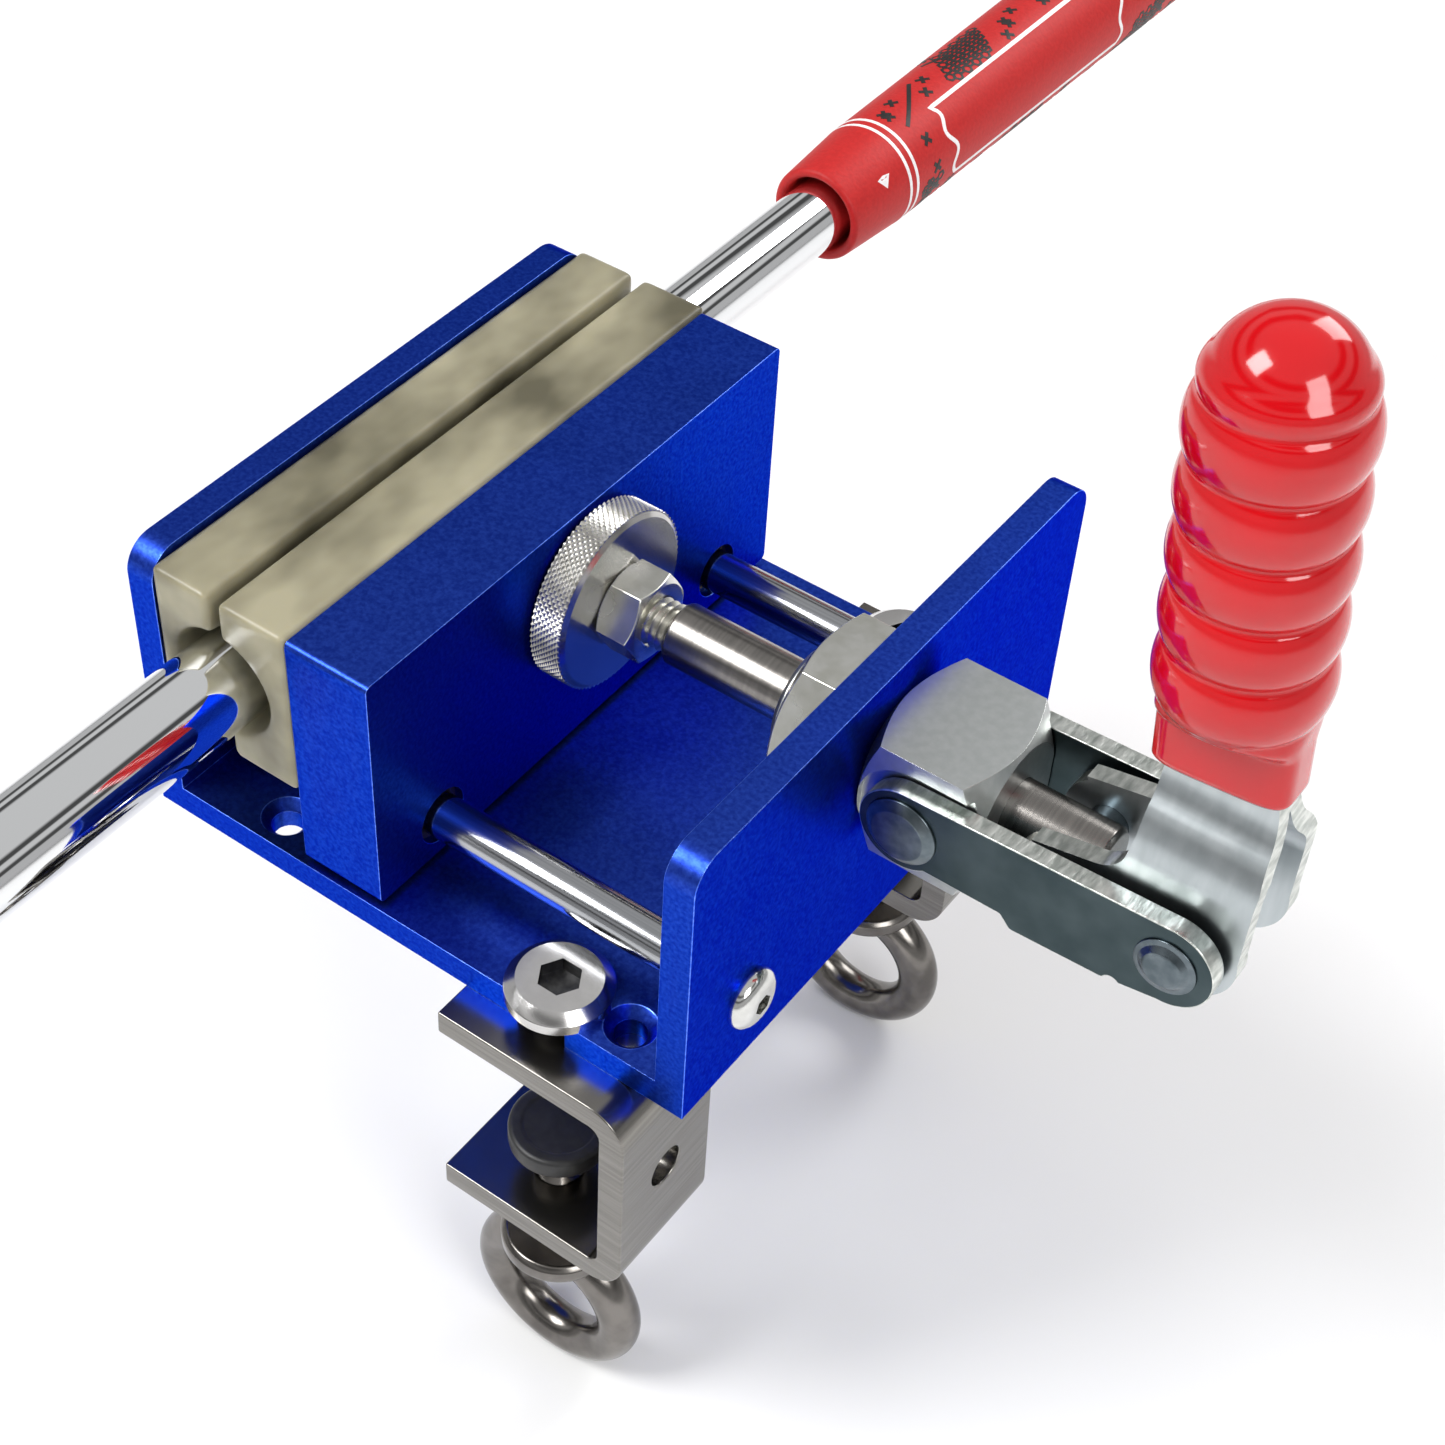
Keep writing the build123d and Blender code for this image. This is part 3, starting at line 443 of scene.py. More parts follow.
# Screw thread: a sheet whose rows are alternate crests and roots, wound into a helix about X.
thread, given, result = geometry_group(
    "screw thread",
    [("Radius", "NodeSocketFloat", 0.004), ("Depth", "NodeSocketFloat", 0.0006),
     ("Pitch", "NodeSocketFloat", 0.00125), ("Length", "NodeSocketFloat", 0.02),
     ("Around", "NodeSocketInt", 48), ("Finish", "NodeSocketMaterial", None)])
coils = maths(thread, "CEIL", maths(thread, "DIVIDE", given["Length"], given["Pitch"]))
bands = maths(thread, "MULTIPLY", maths(thread, "ADD", coils, 1), 2)
sheet = add_node(thread, "GeometryNodeMeshGrid", Vertices_X=maths(thread, "ADD", given["Around"], 1),
                 Vertices_Y=maths(thread, "ADD", bands, 1))
column, band = grid_place(thread, given["Around"], bands)
share = maths(thread, "DIVIDE", column, given["Around"])
height = maths(thread, "ADD", maths(thread, "DIVIDE", band, 2), maths(thread, "SUBTRACT", share, 1))
height = maths(thread, "MULTIPLY", height, given["Pitch"])
held = maths(thread, "MINIMUM", maths(thread, "MAXIMUM", height, 0), given["Length"])
cut_off = maths(thread, "GREATER_THAN", maths(thread, "ABSOLUTE", maths(thread, "SUBTRACT", height, held)),
                1e-7)
root = maths(thread, "SUBTRACT", 1, maths(thread, "MODULO", band, 2))
root = maths(thread, "MAXIMUM", root, cut_off)
radius = maths(thread, "SUBTRACT", given["Radius"], maths(thread, "MULTIPLY", root, given["Depth"]))
angle = maths(thread, "MULTIPLY", share, 2 * math.pi)
moved = wound_on(thread, sheet.outputs[0], held, radius, angle)
closed = add_node(thread, "GeometryNodeMergeByDistance", Geometry=moved, Distance=0.004 * mm)
give(thread, closed.outputs[0], given, result)


def capped(mesh):
    """The mesh with its open ends filled and its faces turned outwards."""
    shell = bmesh.new()
    shell.from_mesh(mesh)
    rims = [edge for edge in shell.edges if edge.is_boundary]
    bmesh.ops.holes_fill(shell, edges=rims, sides=0)
    bmesh.ops.recalc_face_normals(shell, faces=shell.faces)
    shell.to_mesh(mesh)
    shell.free()
    return mesh


def threaded(start, length, radius, pitch, material, turn=None):
    """A capped length of thread from a start point along +X, or turned by a matrix first."""
    values = {"Radius": radius, "Depth": 0.61 * pitch, "Pitch": pitch, "Length": length, "Finish": material}
    mesh = capped(grown("thread", thread, values))
    if turn:
        mesh.transform(turn)
    mesh.transform(Matrix.Translation(start))
    mesh.shade_smooth()
    mesh.set_sharp_from_angle(angle=math.radians(40))
    return mesh


def plain_bar(centre, axis, points, soften=0.3 * mm, turns=96):
    """A turned bar from its outline, with softened corners."""
    outline = rounded(points, soften)
    return spun("turned bar", lambda angle: outline, centre, axis, turns=turns)


stud_steel = finish("zinc plated stud", (0.50, 0.49, 0.45), (0.64, 0.63, 0.58), (900, 900, 900), 0.01 * mm,
                    0.28, 0.15)
disc_steel = finish("polished disc steel", (0.55, 0.54, 0.53), (0.62, 0.61, 0.60), (2600, 90, 90),
                    0.002 * mm, 0.2, 0.16)
knurl_steel = finish("knurled rim steel", (0.58, 0.57, 0.54), (0.72, 0.71, 0.69), (700, 700, 700),
                     0.01 * mm, 0.24, 0.1)
plunger_axis = (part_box("plunger")[0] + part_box("plunger")[1]) / 2
plunger_axis.x = 0
low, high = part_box("adjuster_stud")
neck_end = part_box("moving_jaw_block")[1].x + 0.2 * mm
stud_r = (high.z - low.z) / 2
stud = joined([plain_bar(plunger_axis, (1, 0, 0), [(low.x, 0), (low.x, 3 * mm), (neck_end, 3 * mm),
                                                   (neck_end, 0)]),
               threaded(plunger_axis + Vector((neck_end, 0, 0)), high.x - neck_end, stud_r, 1.25 * mm,
                        stud_steel)], "adjuster stud")
shown(stud, "stud_threaded", "adjuster", "zinc_steel", ["adjuster_stud"], stud_steel)

low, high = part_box("knurled_disc")
disc_r, rim = (high.z - low.z) / 2, 0.55 * mm
knurl_depth = 0.42 * mm
ring = capped(grown("knurl", knurl, {"Radius": disc_r, "Width": high.x - low.x - 2 * rim,
                                     "Depth": knurl_depth, "Around": 84, "Rows": 5, "Finish": knurl_steel}))
ring.transform(Matrix.Translation(plunger_axis + Vector((low.x + rim, 0, 0))))
disc_face = [(low.x, 0), (low.x, disc_r - 1.1 * mm), (low.x + rim, disc_r - knurl_depth),
             (high.x - rim, disc_r - knurl_depth), (high.x, disc_r - 1.1 * mm), (high.x, 0)]
shell = spun("disc", lambda angle: disc_face, plunger_axis, (1, 0, 0), turns=168)
ring_start = len(shell.polygons)
both = joined([shell, ring], "knurled disc")
for polygon in both.polygons[ring_start:]:
    polygon.material_index = 1
    polygon.use_smooth = False
shown(both, "disc_knurled", "adjuster", "knurled_steel", ["knurled_disc"], disc_steel, knurl_steel)

low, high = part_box("retaining_clip")
clip_r = (high.y - low.y) / 2
clip = [(low.x, 3 * mm), (low.x, clip_r), (high.x, clip_r), (high.x, 3 * mm)]
shown(spun("clip", lambda angle: clip, plunger_axis, (1, 0, 0), closed=True), "clip_ring", "adjuster",
      "rivet_steel", ["retaining_clip"], stud_steel)


# ------------ hexagon nuts
# Steel nuts faced and chamfered on a lathe, so each flat ends in an arc; zinc plated and scratched.
# The small one locks the disc on its stud, the large one the clamp body in the frame's wall.
def nut_section(across, bore, start, end):
    """Outline of a chamfered nut at each angle round its axis."""
    face_r = across / 2 * 0.95
    slope = math.tan(math.radians(30))

    def section(angle):
        turned = ((angle + math.pi / 6) % (math.pi / 3)) - math.pi / 6
        flat = across / 2 / math.cos(turned)
        corner = max(flat - face_r, 0) * slope
        lip = 0.5 * mm
        return [(start + lip, bore), (start, bore + lip), (start, face_r), (start + corner, flat),
                (end - corner, flat), (end, face_r), (end, bore + lip), (end - lip, bore)]
    return section


nut_steel = finish("bright zinc nut", (0.66, 0.66, 0.60), (0.80, 0.80, 0.76), (260, 260, 260), 0.012 * mm,
                   0.26, 0.2)
for node, name, body, bore in (("disc_lock_nut", "nut_disc_lock", "adjuster", stud_r),
                               ("body_lock_nut", "nut_body_lock", "vise_frame", 9 * mm)):
    low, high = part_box(node)
    nut = shown(spun("nut", nut_section(high.z - low.z, bore - 0.3 * mm, low.x, high.x), plunger_axis,
                     (1, 0, 0), turns=144, closed=True), name, body, "zinc_steel", [node], nut_steel)
    break_edges(nut, 0.12 * mm, sharper_than=24)

# ------------ plunger and lever pin
# A ground steel bar that slides in the clamp body; browned by handling, with fine lathe lines.
# A dark steel pin through its tail joins it to the lever.
plunger_steel = finish("browned plunger steel", (0.20, 0.19, 0.18), (0.26, 0.245, 0.23), (2200, 60, 60),
                       0.0015 * mm, 0.24, 0.1)
low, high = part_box("plunger")
plunger_r = (high.y - low.y) / 2
bore_r, bore_end = stud_r + 0.15 * mm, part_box("adjuster_stud")[1].x + 4 * mm
outline = rounded([(bore_end, 0), (bore_end, bore_r), (low.x + 0.3 * mm, bore_r), (low.x, bore_r + 0.3 * mm),
                   (low.x, plunger_r - 0.4 * mm), (low.x + 0.4 * mm, plunger_r),
                   (high.x - 0.7 * mm, plunger_r), (high.x, plunger_r - 0.7 * mm), (high.x, 0)], 0.2 * mm)
shown(spun("plunger", lambda angle: outline, plunger_axis, (1, 0, 0), turns=128), "plunger_bar", "plunger",
      "plunger_steel", ["plunger"], plunger_steel)
rivet_steel = finish("dark rivet steel", (0.09, 0.115, 0.13), (0.16, 0.19, 0.21), (420, 420, 420),
                     0.012 * mm, 0.3, 0.2)
low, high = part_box("lever_pin")
pin_centre = (low + high) / 2
half, pin_r = (high.y - low.y) / 2, (high.z - low.z) / 2
shown(plain_bar(pin_centre, (0, 1, 0), [(-half, 0), (-half, pin_r), (half, pin_r), (half, 0)]), "pin_lever",
      "plunger", "rivet_steel", ["lever_pin"], rivet_steel)

# ------------ clamp body
# Square steel bar turned to a cone at both ends, with a threaded nose through the frame's wall.
# It is plated in a satin zinc; its small edge bevels take a brighter zinc, a painted highlight where they
# catch the light.
body_zinc = finish("satin zinc clamp body", (0.44, 0.46, 0.455), (0.49, 0.51, 0.505), (700, 700, 700),
                   0.002 * mm, 0.36, 0.08)
# The brighter zinc on the bevel faces is a painted highlight.
body_edge_painted_highlight = finish("zinc edge painted highlight", (0.72, 0.74, 0.72), (0.85, 0.86, 0.85), (500, 500, 500), 0.01 * mm,
                   0.25, 0.1)
body = shown(as_mesh(merged_copy("clamp_body"), "clamp body"), "clamp_body_turned", "vise_frame",
             "zinc_steel", ["clamp_body"], body_zinc, body_edge_painted_highlight)
break_edges(body, 0.2 * mm, sharper_than=24, edge_slot=1)

# ------------ links and rivets
# Two links blanked from 3 mm sheet: smooth dark faces, with bright torn edges from the press.
# Headed steel rivets join them to the clamp body and to the lever.
link_face = finish("slate zinc link", (0.038, 0.058, 0.064), (0.065, 0.09, 0.097), (120, 120, 120),
                   0.01 * mm, 0.34, 0.15)
torn_edge = finish("torn zinc edge", (0.42, 0.45, 0.42), (0.80, 0.82, 0.78), (900, 300, 900), 0.08 * mm,
                   0.3, 0.2)
for side in ("near", "far"):
    link = shown(as_mesh(merged_copy(f"link_{side}"), "link"), f"link_{side}_blanked", "links", "zinc_steel",
                 [f"link_{side}"], link_face, torn_edge)
    for polygon in link.data.polygons:
        polygon.material_index = int(abs(polygon.normal.y) < 0.5)
    break_edges(link, 0.25 * mm, edge_slot=1)


def rivet_pair(node, head_r, steps, stub_r):
    """Two headed rivets facing outwards: steps are (height over the head's seat, radius) points."""
    low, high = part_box(node)
    centre = (low + high) / 2
    tall = steps[-1][0]
    made = []
    for side in (-1, 1):
        seat = (high.y - centre.y) - tall
        inner = seat - 3 * mm - 3 * mm
        outline = [(inner, 0), (inner, stub_r), (seat, stub_r), (seat, head_r)]
        outline += [(seat + rise, radius) for rise, radius in steps] + [(seat + tall, 0)]
        made.append(plain_bar((centre.x, centre.y, centre.z), (0, side, 0), outline, 0.1 * mm))
    return joined(made, node)


rivet_r = 3 * mm
low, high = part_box("body_rivets")
big_r = (high.x - low.x) / 2
steps = [(0.35 * mm, big_r), (1.15 * mm, big_r - 1.15 * mm), (1.3 * mm, big_r - 1.4 * mm)]
shown(rivet_pair("body_rivets", big_r, steps, rivet_r), "rivets_body", "links", "rivet_steel",
      ["body_rivets"], rivet_steel)
low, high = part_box("lever_rivets")
small_r = (high.x - low.x) / 2
steps = [(0.3 * mm, small_r), (0.45 * mm, small_r - 0.8 * mm), (1.15 * mm, small_r - 1.6 * mm),
         (1.3 * mm, 2.6 * mm)]
shown(rivet_pair("lever_rivets", small_r, steps, rivet_r), "rivets_lever", "links", "rivet_steel",
      ["lever_rivets"], rivet_steel)

# ------------ lever
# Two pressed sides welded together at the neck, zinc plated, with bright torn edges.
# Its claws take the plunger's pin, and its neck carries the vinyl grip.
lever_zinc = finish("bright zinc lever", (0.42, 0.46, 0.475), (0.50, 0.54, 0.555), (420, 420, 60),
                    0.004 * mm, 0.3, 0.1)
lever = shown(as_mesh(merged_copy("lever"), "lever"), "lever_pressed", "hand_lever", "zinc_steel", ["lever"],
              lever_zinc, torn_edge)
for polygon in lever.data.polygons:
    polygon.material_index = int(abs(polygon.normal.y) < 0.3 and abs(polygon.normal.z) < 0.99)
break_edges(lever, 0.2 * mm, edge_slot=1)

# ------------ lever grip
# Dipped red vinyl: five finger bulges with tight creases over a flat neck, and a round top.
# It is stripped from its former and pushed over the lever's neck.
vinyl = finish("red dipped vinyl", (0.50, 0.001, 0.004), (0.55, 0.0015, 0.005), (60, 60, 60), 0.03 * mm,
               0.12, 0.06, metallic=0.0, Coat_Weight=0.25, Coat_Roughness=0.08, Subsurface_Weight=0.08,
               Subsurface_Radius=(1.0, 0.1, 0.1), Subsurface_Scale=0.002)
low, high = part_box("lever_grip")
lean = math.radians(4.9)
rise_dir = Vector((-math.sin(lean), 0, math.cos(lean)))
wide_dir = Vector((math.cos(lean), 0, math.sin(lean)))
foot = Vector((97.9 * mm, 0, 61 * mm))
rise = (high.z - foot.z) / rise_dir.z
neck_half = Vector((9.8 * mm, 4.7 * mm))
full_r, crease = 11.4 * mm, 1.4 * mm
neck_end, bulges = 13 * mm, 5
dome_start = rise - 10.2 * mm
bulge_rise = (dome_start - neck_end) / bulges


def grip_ring(height):
    """Half widths and squareness of the grip's outline at a height over the neck's foot."""
    if height < neck_end:
        share = max(0.0, (height - neck_end * 0.62) / (neck_end * 0.38))
        share = share * share * (3 - 2 * share)
        round_r = full_r - crease
        return (neck_half.x + (round_r - neck_half.x) * share, neck_half.y + (round_r - neck_half.y) * share,
                5.0 - 2.9 * share)
    if height < dome_start:
        phase = ((height - neck_end) / bulge_rise) % 1.0
        swell = abs(math.sin(math.pi * phase)) ** 0.62
        radius = full_r - crease * (1 - swell)
        return radius, radius, 2.1
    fall = (height - dome_start) / (rise - dome_start)
    radius = (full_r - crease) * math.sqrt(max(0.0, 1 - fall ** 2.15))
    swell = math.sin(min(1.0, fall * 2.2) * math.pi) * 0.55 * mm
    return radius + swell, radius + swell, 2.0


levels = 150
around = 96
shell = bmesh.new()
rings = []
for level in range(levels + 1):
    height = rise * level / levels
    if level == levels:
        tip = shell.verts.new(foot + rise_dir * rise)
        break
    half_x, half_y, power = grip_ring(height)
    tuck = 0.5 * mm * max(0.0, 1 - height / (0.8 * mm))
    ring = []
    for step in range(around):
        angle = 2 * math.pi * step / around
        cos_a, sin_a = math.cos(angle), math.sin(angle)
        reach = (abs(cos_a) ** power + abs(sin_a) ** power) ** (-1 / power)
        spot = foot + rise_dir * height + wide_dir * (half_x - tuck) * cos_a * reach
        ring.append(shell.verts.new(spot + Vector((0, 1, 0)) * (half_y - tuck) * sin_a * reach))
    rings.append(ring)
for lower, upper in zip(rings, rings[1:]):
    for step in range(around):
        follow = (step + 1) % around
        shell.faces.new((lower[step], lower[follow], upper[follow], upper[step]))
for step in range(around):
    shell.faces.new((rings[-1][step], rings[-1][(step + 1) % around], tip))
shell.faces.new(rings[0])
bmesh.ops.recalc_face_normals(shell, faces=shell.faces)
shown(as_mesh(shell, "vinyl grip"), "lever_grip_dipped", "hand_lever", "red_vinyl", ["lever_grip"], vinyl)

# ------------ table brackets
# Two C-shaped brackets bent from 4.5 mm stainless bar and polished.
# A chromed cap bolt with a hexagon socket holds each under the frame's base.
stainless = finish("polished stainless", (0.20, 0.19, 0.175), (0.27, 0.26, 0.24), (60, 60, 1800),
                   0.002 * mm, 0.24, 0.14)
cap_chrome = finish("chrome cap bolt", (0.62, 0.61, 0.60), (0.68, 0.67, 0.66), (300, 300, 300), 0.001 * mm,
                    0.2, 0.08)
# The socket's dark colour is painted shade inside the recess.
socket_painted_shade = finish("hexagon socket painted shade", (0.05, 0.05, 0.052), (0.10, 0.10, 0.10), (600, 600, 600),
                     0.002 * mm, 0.35, 0.1)
upright = Matrix.Rotation(math.radians(-90), 4, "Y")
for side in ("near", "far"):
    bracket = shown(as_mesh(merged_copy(f"bracket_{side}"), "bracket"), f"bracket_{side}_bent", "vise_frame",
                    "bracket_steel", [f"bracket_{side}"], stainless)
    break_edges(bracket, 0.3 * mm)
    low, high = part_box(f"bracket_bolt_{side}")
    centre = (low + high) / 2
    base_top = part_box("u_frame")[0].z + 5 * mm
    head = high.z - base_top
    head_r = (high.x - low.x) / 2
    rim_step = [(head - 1.5 * mm, head_r), (head - 1.3 * mm, head_r - 0.15 * mm),
                (head, head_r - 1.7 * mm)]
    cap = spun("cap", socket_head(6 * mm, head_r, head, rim_step), (centre.x, centre.y, base_top), (0, 0, 1),
               turns=96)
    # Faces inside the socket, below the head's top, take the painted shade.
    for polygon in cap.polygons:
        inside = (polygon.center.xy - centre.xy).length < 3.5 * mm
        if inside and 0.2 * mm < polygon.center.z - base_top < head - 0.02 * mm:
            polygon.material_index = 1
    shank = threaded((centre.x, centre.y, low.z), base_top - low.z + 0.2 * mm, 4 * mm, 1.25 * mm, cap_chrome,
                     upright)
    shown(joined([cap, shank], "cap bolt"), f"cap_bolt_{side}", "vise_frame", "chrome_screws",
          [f"bracket_bolt_{side}"], cap_chrome, socket_painted_shade)

# ------------ eye bolts and pressure pads
# Forged stainless eye bolts with a turned collar, screwed up through the lower flange;
# each carries a loose black plastic pad that meets the underside of the table.
eye_steel = finish("forged eye bolt", (0.15, 0.14, 0.13), (0.23, 0.215, 0.20), (240, 240, 240), 0.012 * mm,
                   0.22, 0.16)
black_plastic = finish("black moulded plastic", (0.012, 0.012, 0.013), (0.02, 0.02, 0.021), (600, 600, 600),
                       0.02 * mm, 0.45, 0.1, metallic=0.0)
for side in ("near", "far"):
    low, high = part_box(f"eye_bolt_{side}")
    centre = (low + high) / 2
    ring_out = (high.x - low.x) / 2
    wire_r, collar_r = 3.6 * mm, 9.5 * mm
    ring_r = ring_out - wire_r
    ring_z = low.z + ring_out
    collar_top, collar = -54 * mm, 5 * mm
    wire = [(wire_r * math.sin(math.pi * step / 16), ring_r + wire_r * math.cos(math.pi * step / 16))
            for step in range(32)]
    ring = spun("eye", lambda angle: wire, (centre.x, centre.y, ring_z), (0, 1, 0), closed=True)
    collar_points = [(0, 0), (0, collar_r - 2.2 * mm), (1.3 * mm, collar_r - 0.5 * mm),
                     (2.1 * mm, collar_r), (collar - 0.9 * mm, collar_r), (collar, collar_r - 0.9 * mm),
                     (collar, 4 * mm), (collar + 0.2 * mm, 4 * mm), (collar + 0.2 * mm, 0)]
    collar_mesh = plain_bar((centre.x, centre.y, collar_top - collar), (0, 0, 1), collar_points)
    shank_top = -31.5 * mm
    shank = threaded((centre.x, centre.y, collar_top), shank_top - collar_top, 4 * mm, 1.25 * mm, eye_steel,
                     upright)
    tip = plain_bar((centre.x, centre.y, shank_top), (0, 0, 1),
                    [(-0.2 * mm, 0), (-0.2 * mm, 2.5 * mm), (high.z - shank_top, 2.5 * mm),
                     (high.z - shank_top, 0)])
    shown(joined([ring, collar_mesh, shank, tip], "eye bolt"), f"eye_{side}", f"eye_bolt_{side}",
          "bracket_steel", [f"eye_bolt_{side}"], eye_steel)
    low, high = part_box(f"pressure_pad_{side}")
    pad_r, pad = (high.x - low.x) / 2, high.z - low.z
    centre = (low + high) / 2
    pad_points = [(2.5 * mm, 0), (2.5 * mm, 2.55 * mm), (0, 2.55 * mm), (0, pad_r - 1 * mm),
                  (0.9 * mm, pad_r), (pad - 0.4 * mm, pad_r), (pad, pad_r - 0.6 * mm), (pad, pad_r - 2 * mm),
                  (pad - 0.3 * mm, pad_r - 2.4 * mm), (pad - 0.3 * mm, 0)]
    shown(plain_bar((centre.x, centre.y, low.z), (0, 0, 1), pad_points), f"pad_{side}",
          f"pressure_pad_{side}", "black_plastic", [f"pressure_pad_{side}"], black_plastic)

# ------------ club shaft and grip tape
# Chromed steel tube, cut off in front of the vise and held between the jaw pads.
# Double sided tape is wound round its butt, under the grip.
chrome = finish("chromed shaft", (0.80, 0.81, 0.82), (0.84, 0.85, 0.86), (25, 6, 25), 0.0, 0.035, 0.03)
low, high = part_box("club_shaft")
club_axis = Vector((high.x + low.x, 0, high.z + low.z)) / 2
shaft_r, butt_r, wall = (high.x - low.x) / 2, 6.1 * mm, 1.1 * mm
outline = [(low.y, shaft_r - wall), (low.y, shaft_r - 0.2 * mm), (low.y + 0.2 * mm, shaft_r),
           (-20 * mm, shaft_r), (35 * mm, butt_r), (high.y, butt_r), (high.y, butt_r - wall),
           (35 * mm, butt_r - wall), (-20 * mm, shaft_r - wall)]
shown(spun("shaft", lambda angle: outline, club_axis, (0, 1, 0), turns=160, closed=True), "shaft_chromed",
      "club", "club_chrome", ["club_shaft"], chrome)
tape_white = finish("grip tape", (0.55, 0.50, 0.42), (0.62, 0.58, 0.50), (400, 400, 400), 0.03 * mm, 0.6,
                    0.1, metallic=0.0)
low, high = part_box("grip_tape")
tape_r = (high.x - low.x) / 2
outline = [(low.y, butt_r + 0.02 * mm), (low.y, tape_r), (high.y, tape_r), (high.y, butt_r + 0.02 * mm)]
shown(spun("tape", lambda angle: outline, club_axis, (0, 1, 0), closed=True), "tape_wound", "club",
      "grip_tape", ["grip_tape"], tape_white)

# ------------ golf grip
# Moulded red rubber tube with an open mouth, black pressed-in marks and white painted lines.
# The name plate is left plain.
rubber = finish("red grip rubber", (0.43, 0.009, 0.009), (0.50, 0.013, 0.012), (1400, 1400, 1400), 0.04 * mm,
                0.52, 0.12, metallic=0.0, Specular_IOR_Level=0.35)
mark_black = finish("black grip mark", (0.004, 0.003, 0.003), (0.010, 0.008, 0.008), (1200, 1200, 1200),
                    0.03 * mm, 0.5, 0.1, metallic=0.0)
paint_white = finish("white grip paint", (0.80, 0.76, 0.76), (0.88, 0.86, 0.86), (900, 900, 900), 0.01 * mm,
                     0.5, 0.1, metallic=0.0)
low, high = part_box("golf_grip")
mouth_y, tube_end = low.y, high.y
mouth_r, swell_r, lip, end_r = 8.9 * mm, 10 * mm, 16 * mm, (high.x - low.x) / 2
bore = butt_r + 0.3 * mm
outline = [(tube_end, bore), (mouth_y + 12 * mm, bore)]
outline += rounded([(mouth_y + 12 * mm, bore), (mouth_y + 0.6 * mm, mouth_r - 1.75 * mm),
                    (mouth_y, mouth_r - 1.2 * mm), (mouth_y, mouth_r - 0.5 * mm),
                    (mouth_y + 0.5 * mm, mouth_r), (mouth_y + lip, swell_r),
                    (tube_end, end_r)], 0.4 * mm)[1:]
shown(spun("grip tube", lambda angle: outline, club_axis, (0, 1, 0), turns=128, closed=True), "grip_rubber",
      "grip", "grip_rubber", ["golf_grip"], rubber)
low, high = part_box("grip_end_cap")
cap_r, cap_end = (high.x - low.x) / 2, high.y
vent = 1.6 * mm
cap_points = rounded([(tube_end, vent), (tube_end, end_r), (tube_end + 3 * mm, cap_r - 0.1 * mm),
                      (tube_end + 4.2 * mm, cap_r), (tube_end + 7 * mm, cap_r * 0.84),
                      (cap_end - 0.6 * mm, cap_r * 0.4), (cap_end - 0.1 * mm, vent + 0.5 * mm),
                      (cap_end - 0.6 * mm, vent)], 1.5 * mm, steps=6)
shown(spun("grip cap", lambda angle: cap_points, club_axis, (0, 1, 0), turns=128, closed=True), "grip_cap",
      "grip", "grip_rubber", ["grip_end_cap"], rubber)

# Marks lie flat in a layout of arc and length, and geometry nodes bend them round the grip.
# The layout's x is the distance round from the top, towards +X; its z is height over the skin.
grip_marks, given, result = geometry_group(
    "marks on the grip",
    [("Geometry", "NodeSocketGeometry", None), ("Skin", "NodeSocketFloat", 0.0103),
     ("Taper", "NodeSocketFloat", 0.0075), ("Tip taper", "NodeSocketFloat", 0.06),
     ("Start", "NodeSocketFloat", 0.106), ("Axis", "NodeSocketVector", (0, 0, 0)),
     ("Arc radius", "NodeSocketFloat", 0.0106),
     ("Finish", "NodeSocketMaterial", None)])
spot = add_node(grip_marks, "ShaderNodeSeparateXYZ",
                Vector=add_node(grip_marks, "GeometryNodeInputPosition").outputs[0])
run = maths(grip_marks, "SUBTRACT", spot.outputs[1], given["Start"])
rise = maths(grip_marks, "MINIMUM", maths(grip_marks, "MULTIPLY", run, given["Taper"]),
             maths(grip_marks, "MULTIPLY", run, given["Tip taper"]))
radius = maths(grip_marks, "ADD", given["Skin"], rise)
radius = maths(grip_marks, "ADD", radius, spot.outputs[2])
angle = maths(grip_marks, "DIVIDE", spot.outputs[0], given["Arc radius"])
bent = add_node(grip_marks, "ShaderNodeCombineXYZ",
                X=maths(grip_marks, "MULTIPLY", radius, maths(grip_marks, "SINE", angle)),
                Y=spot.outputs[1],
                Z=maths(grip_marks, "MULTIPLY", radius, maths(grip_marks, "COSINE", angle)))
on_axis = add_node(grip_marks, "ShaderNodeVectorMath", operation="ADD")
grip_marks.links.new(bent.outputs[0], on_axis.inputs[0])
grip_marks.links.new(given["Axis"], on_axis.inputs[1])
moved = add_node(grip_marks, "GeometryNodeSetPosition", Geometry=given["Geometry"],
                 Position=on_axis.outputs[0])
give(grip_marks, moved.outputs[0], given, result)

arc_r = 10.6 * mm
mark_over, mark_under = 0.06 * mm, 0.25 * mm


def stroke(shell, points, width, closed=False):
    """A raised painted line of a width through (arc, along) points, in short straight lengths."""
    path = [Vector(point) for point in points]
    pieces = []
    for start, end in zip(path, path[1:] + (path[:1] if closed else [])):
        steps = max(1, int((end - start).length / (1.2 * mm)))
        pieces += [start.lerp(end, step / steps) for step in range(steps)]
    if not closed:
        pieces.append(path[-1])
    sides = []
    for index, spot in enumerate(pieces):
        before = pieces[index - 1] if closed or index else spot
        after = pieces[(index + 1) % len(pieces)] if closed or index + 1 < len(pieces) else spot
        ahead = (after - before).normalized()
        half = Vector((-ahead.y, ahead.x)) * width / 2
        sides.append([shell.verts.new((*(spot + half * side), height))
                      for side, height in ((1, mark_over), (-1, mark_over), (-1, -mark_under),
                                           (1, -mark_under))])
    pairs = list(zip(sides, sides[1:] + (sides[:1] if closed else [])))
    for here, there in pairs:
        for step in range(4):
            follow = (step + 1) % 4
            shell.faces.new((here[step], here[follow], there[follow], there[step]))
    if not closed:
        shell.faces.new(sides[0])
        shell.faces.new(sides[-1][::-1])


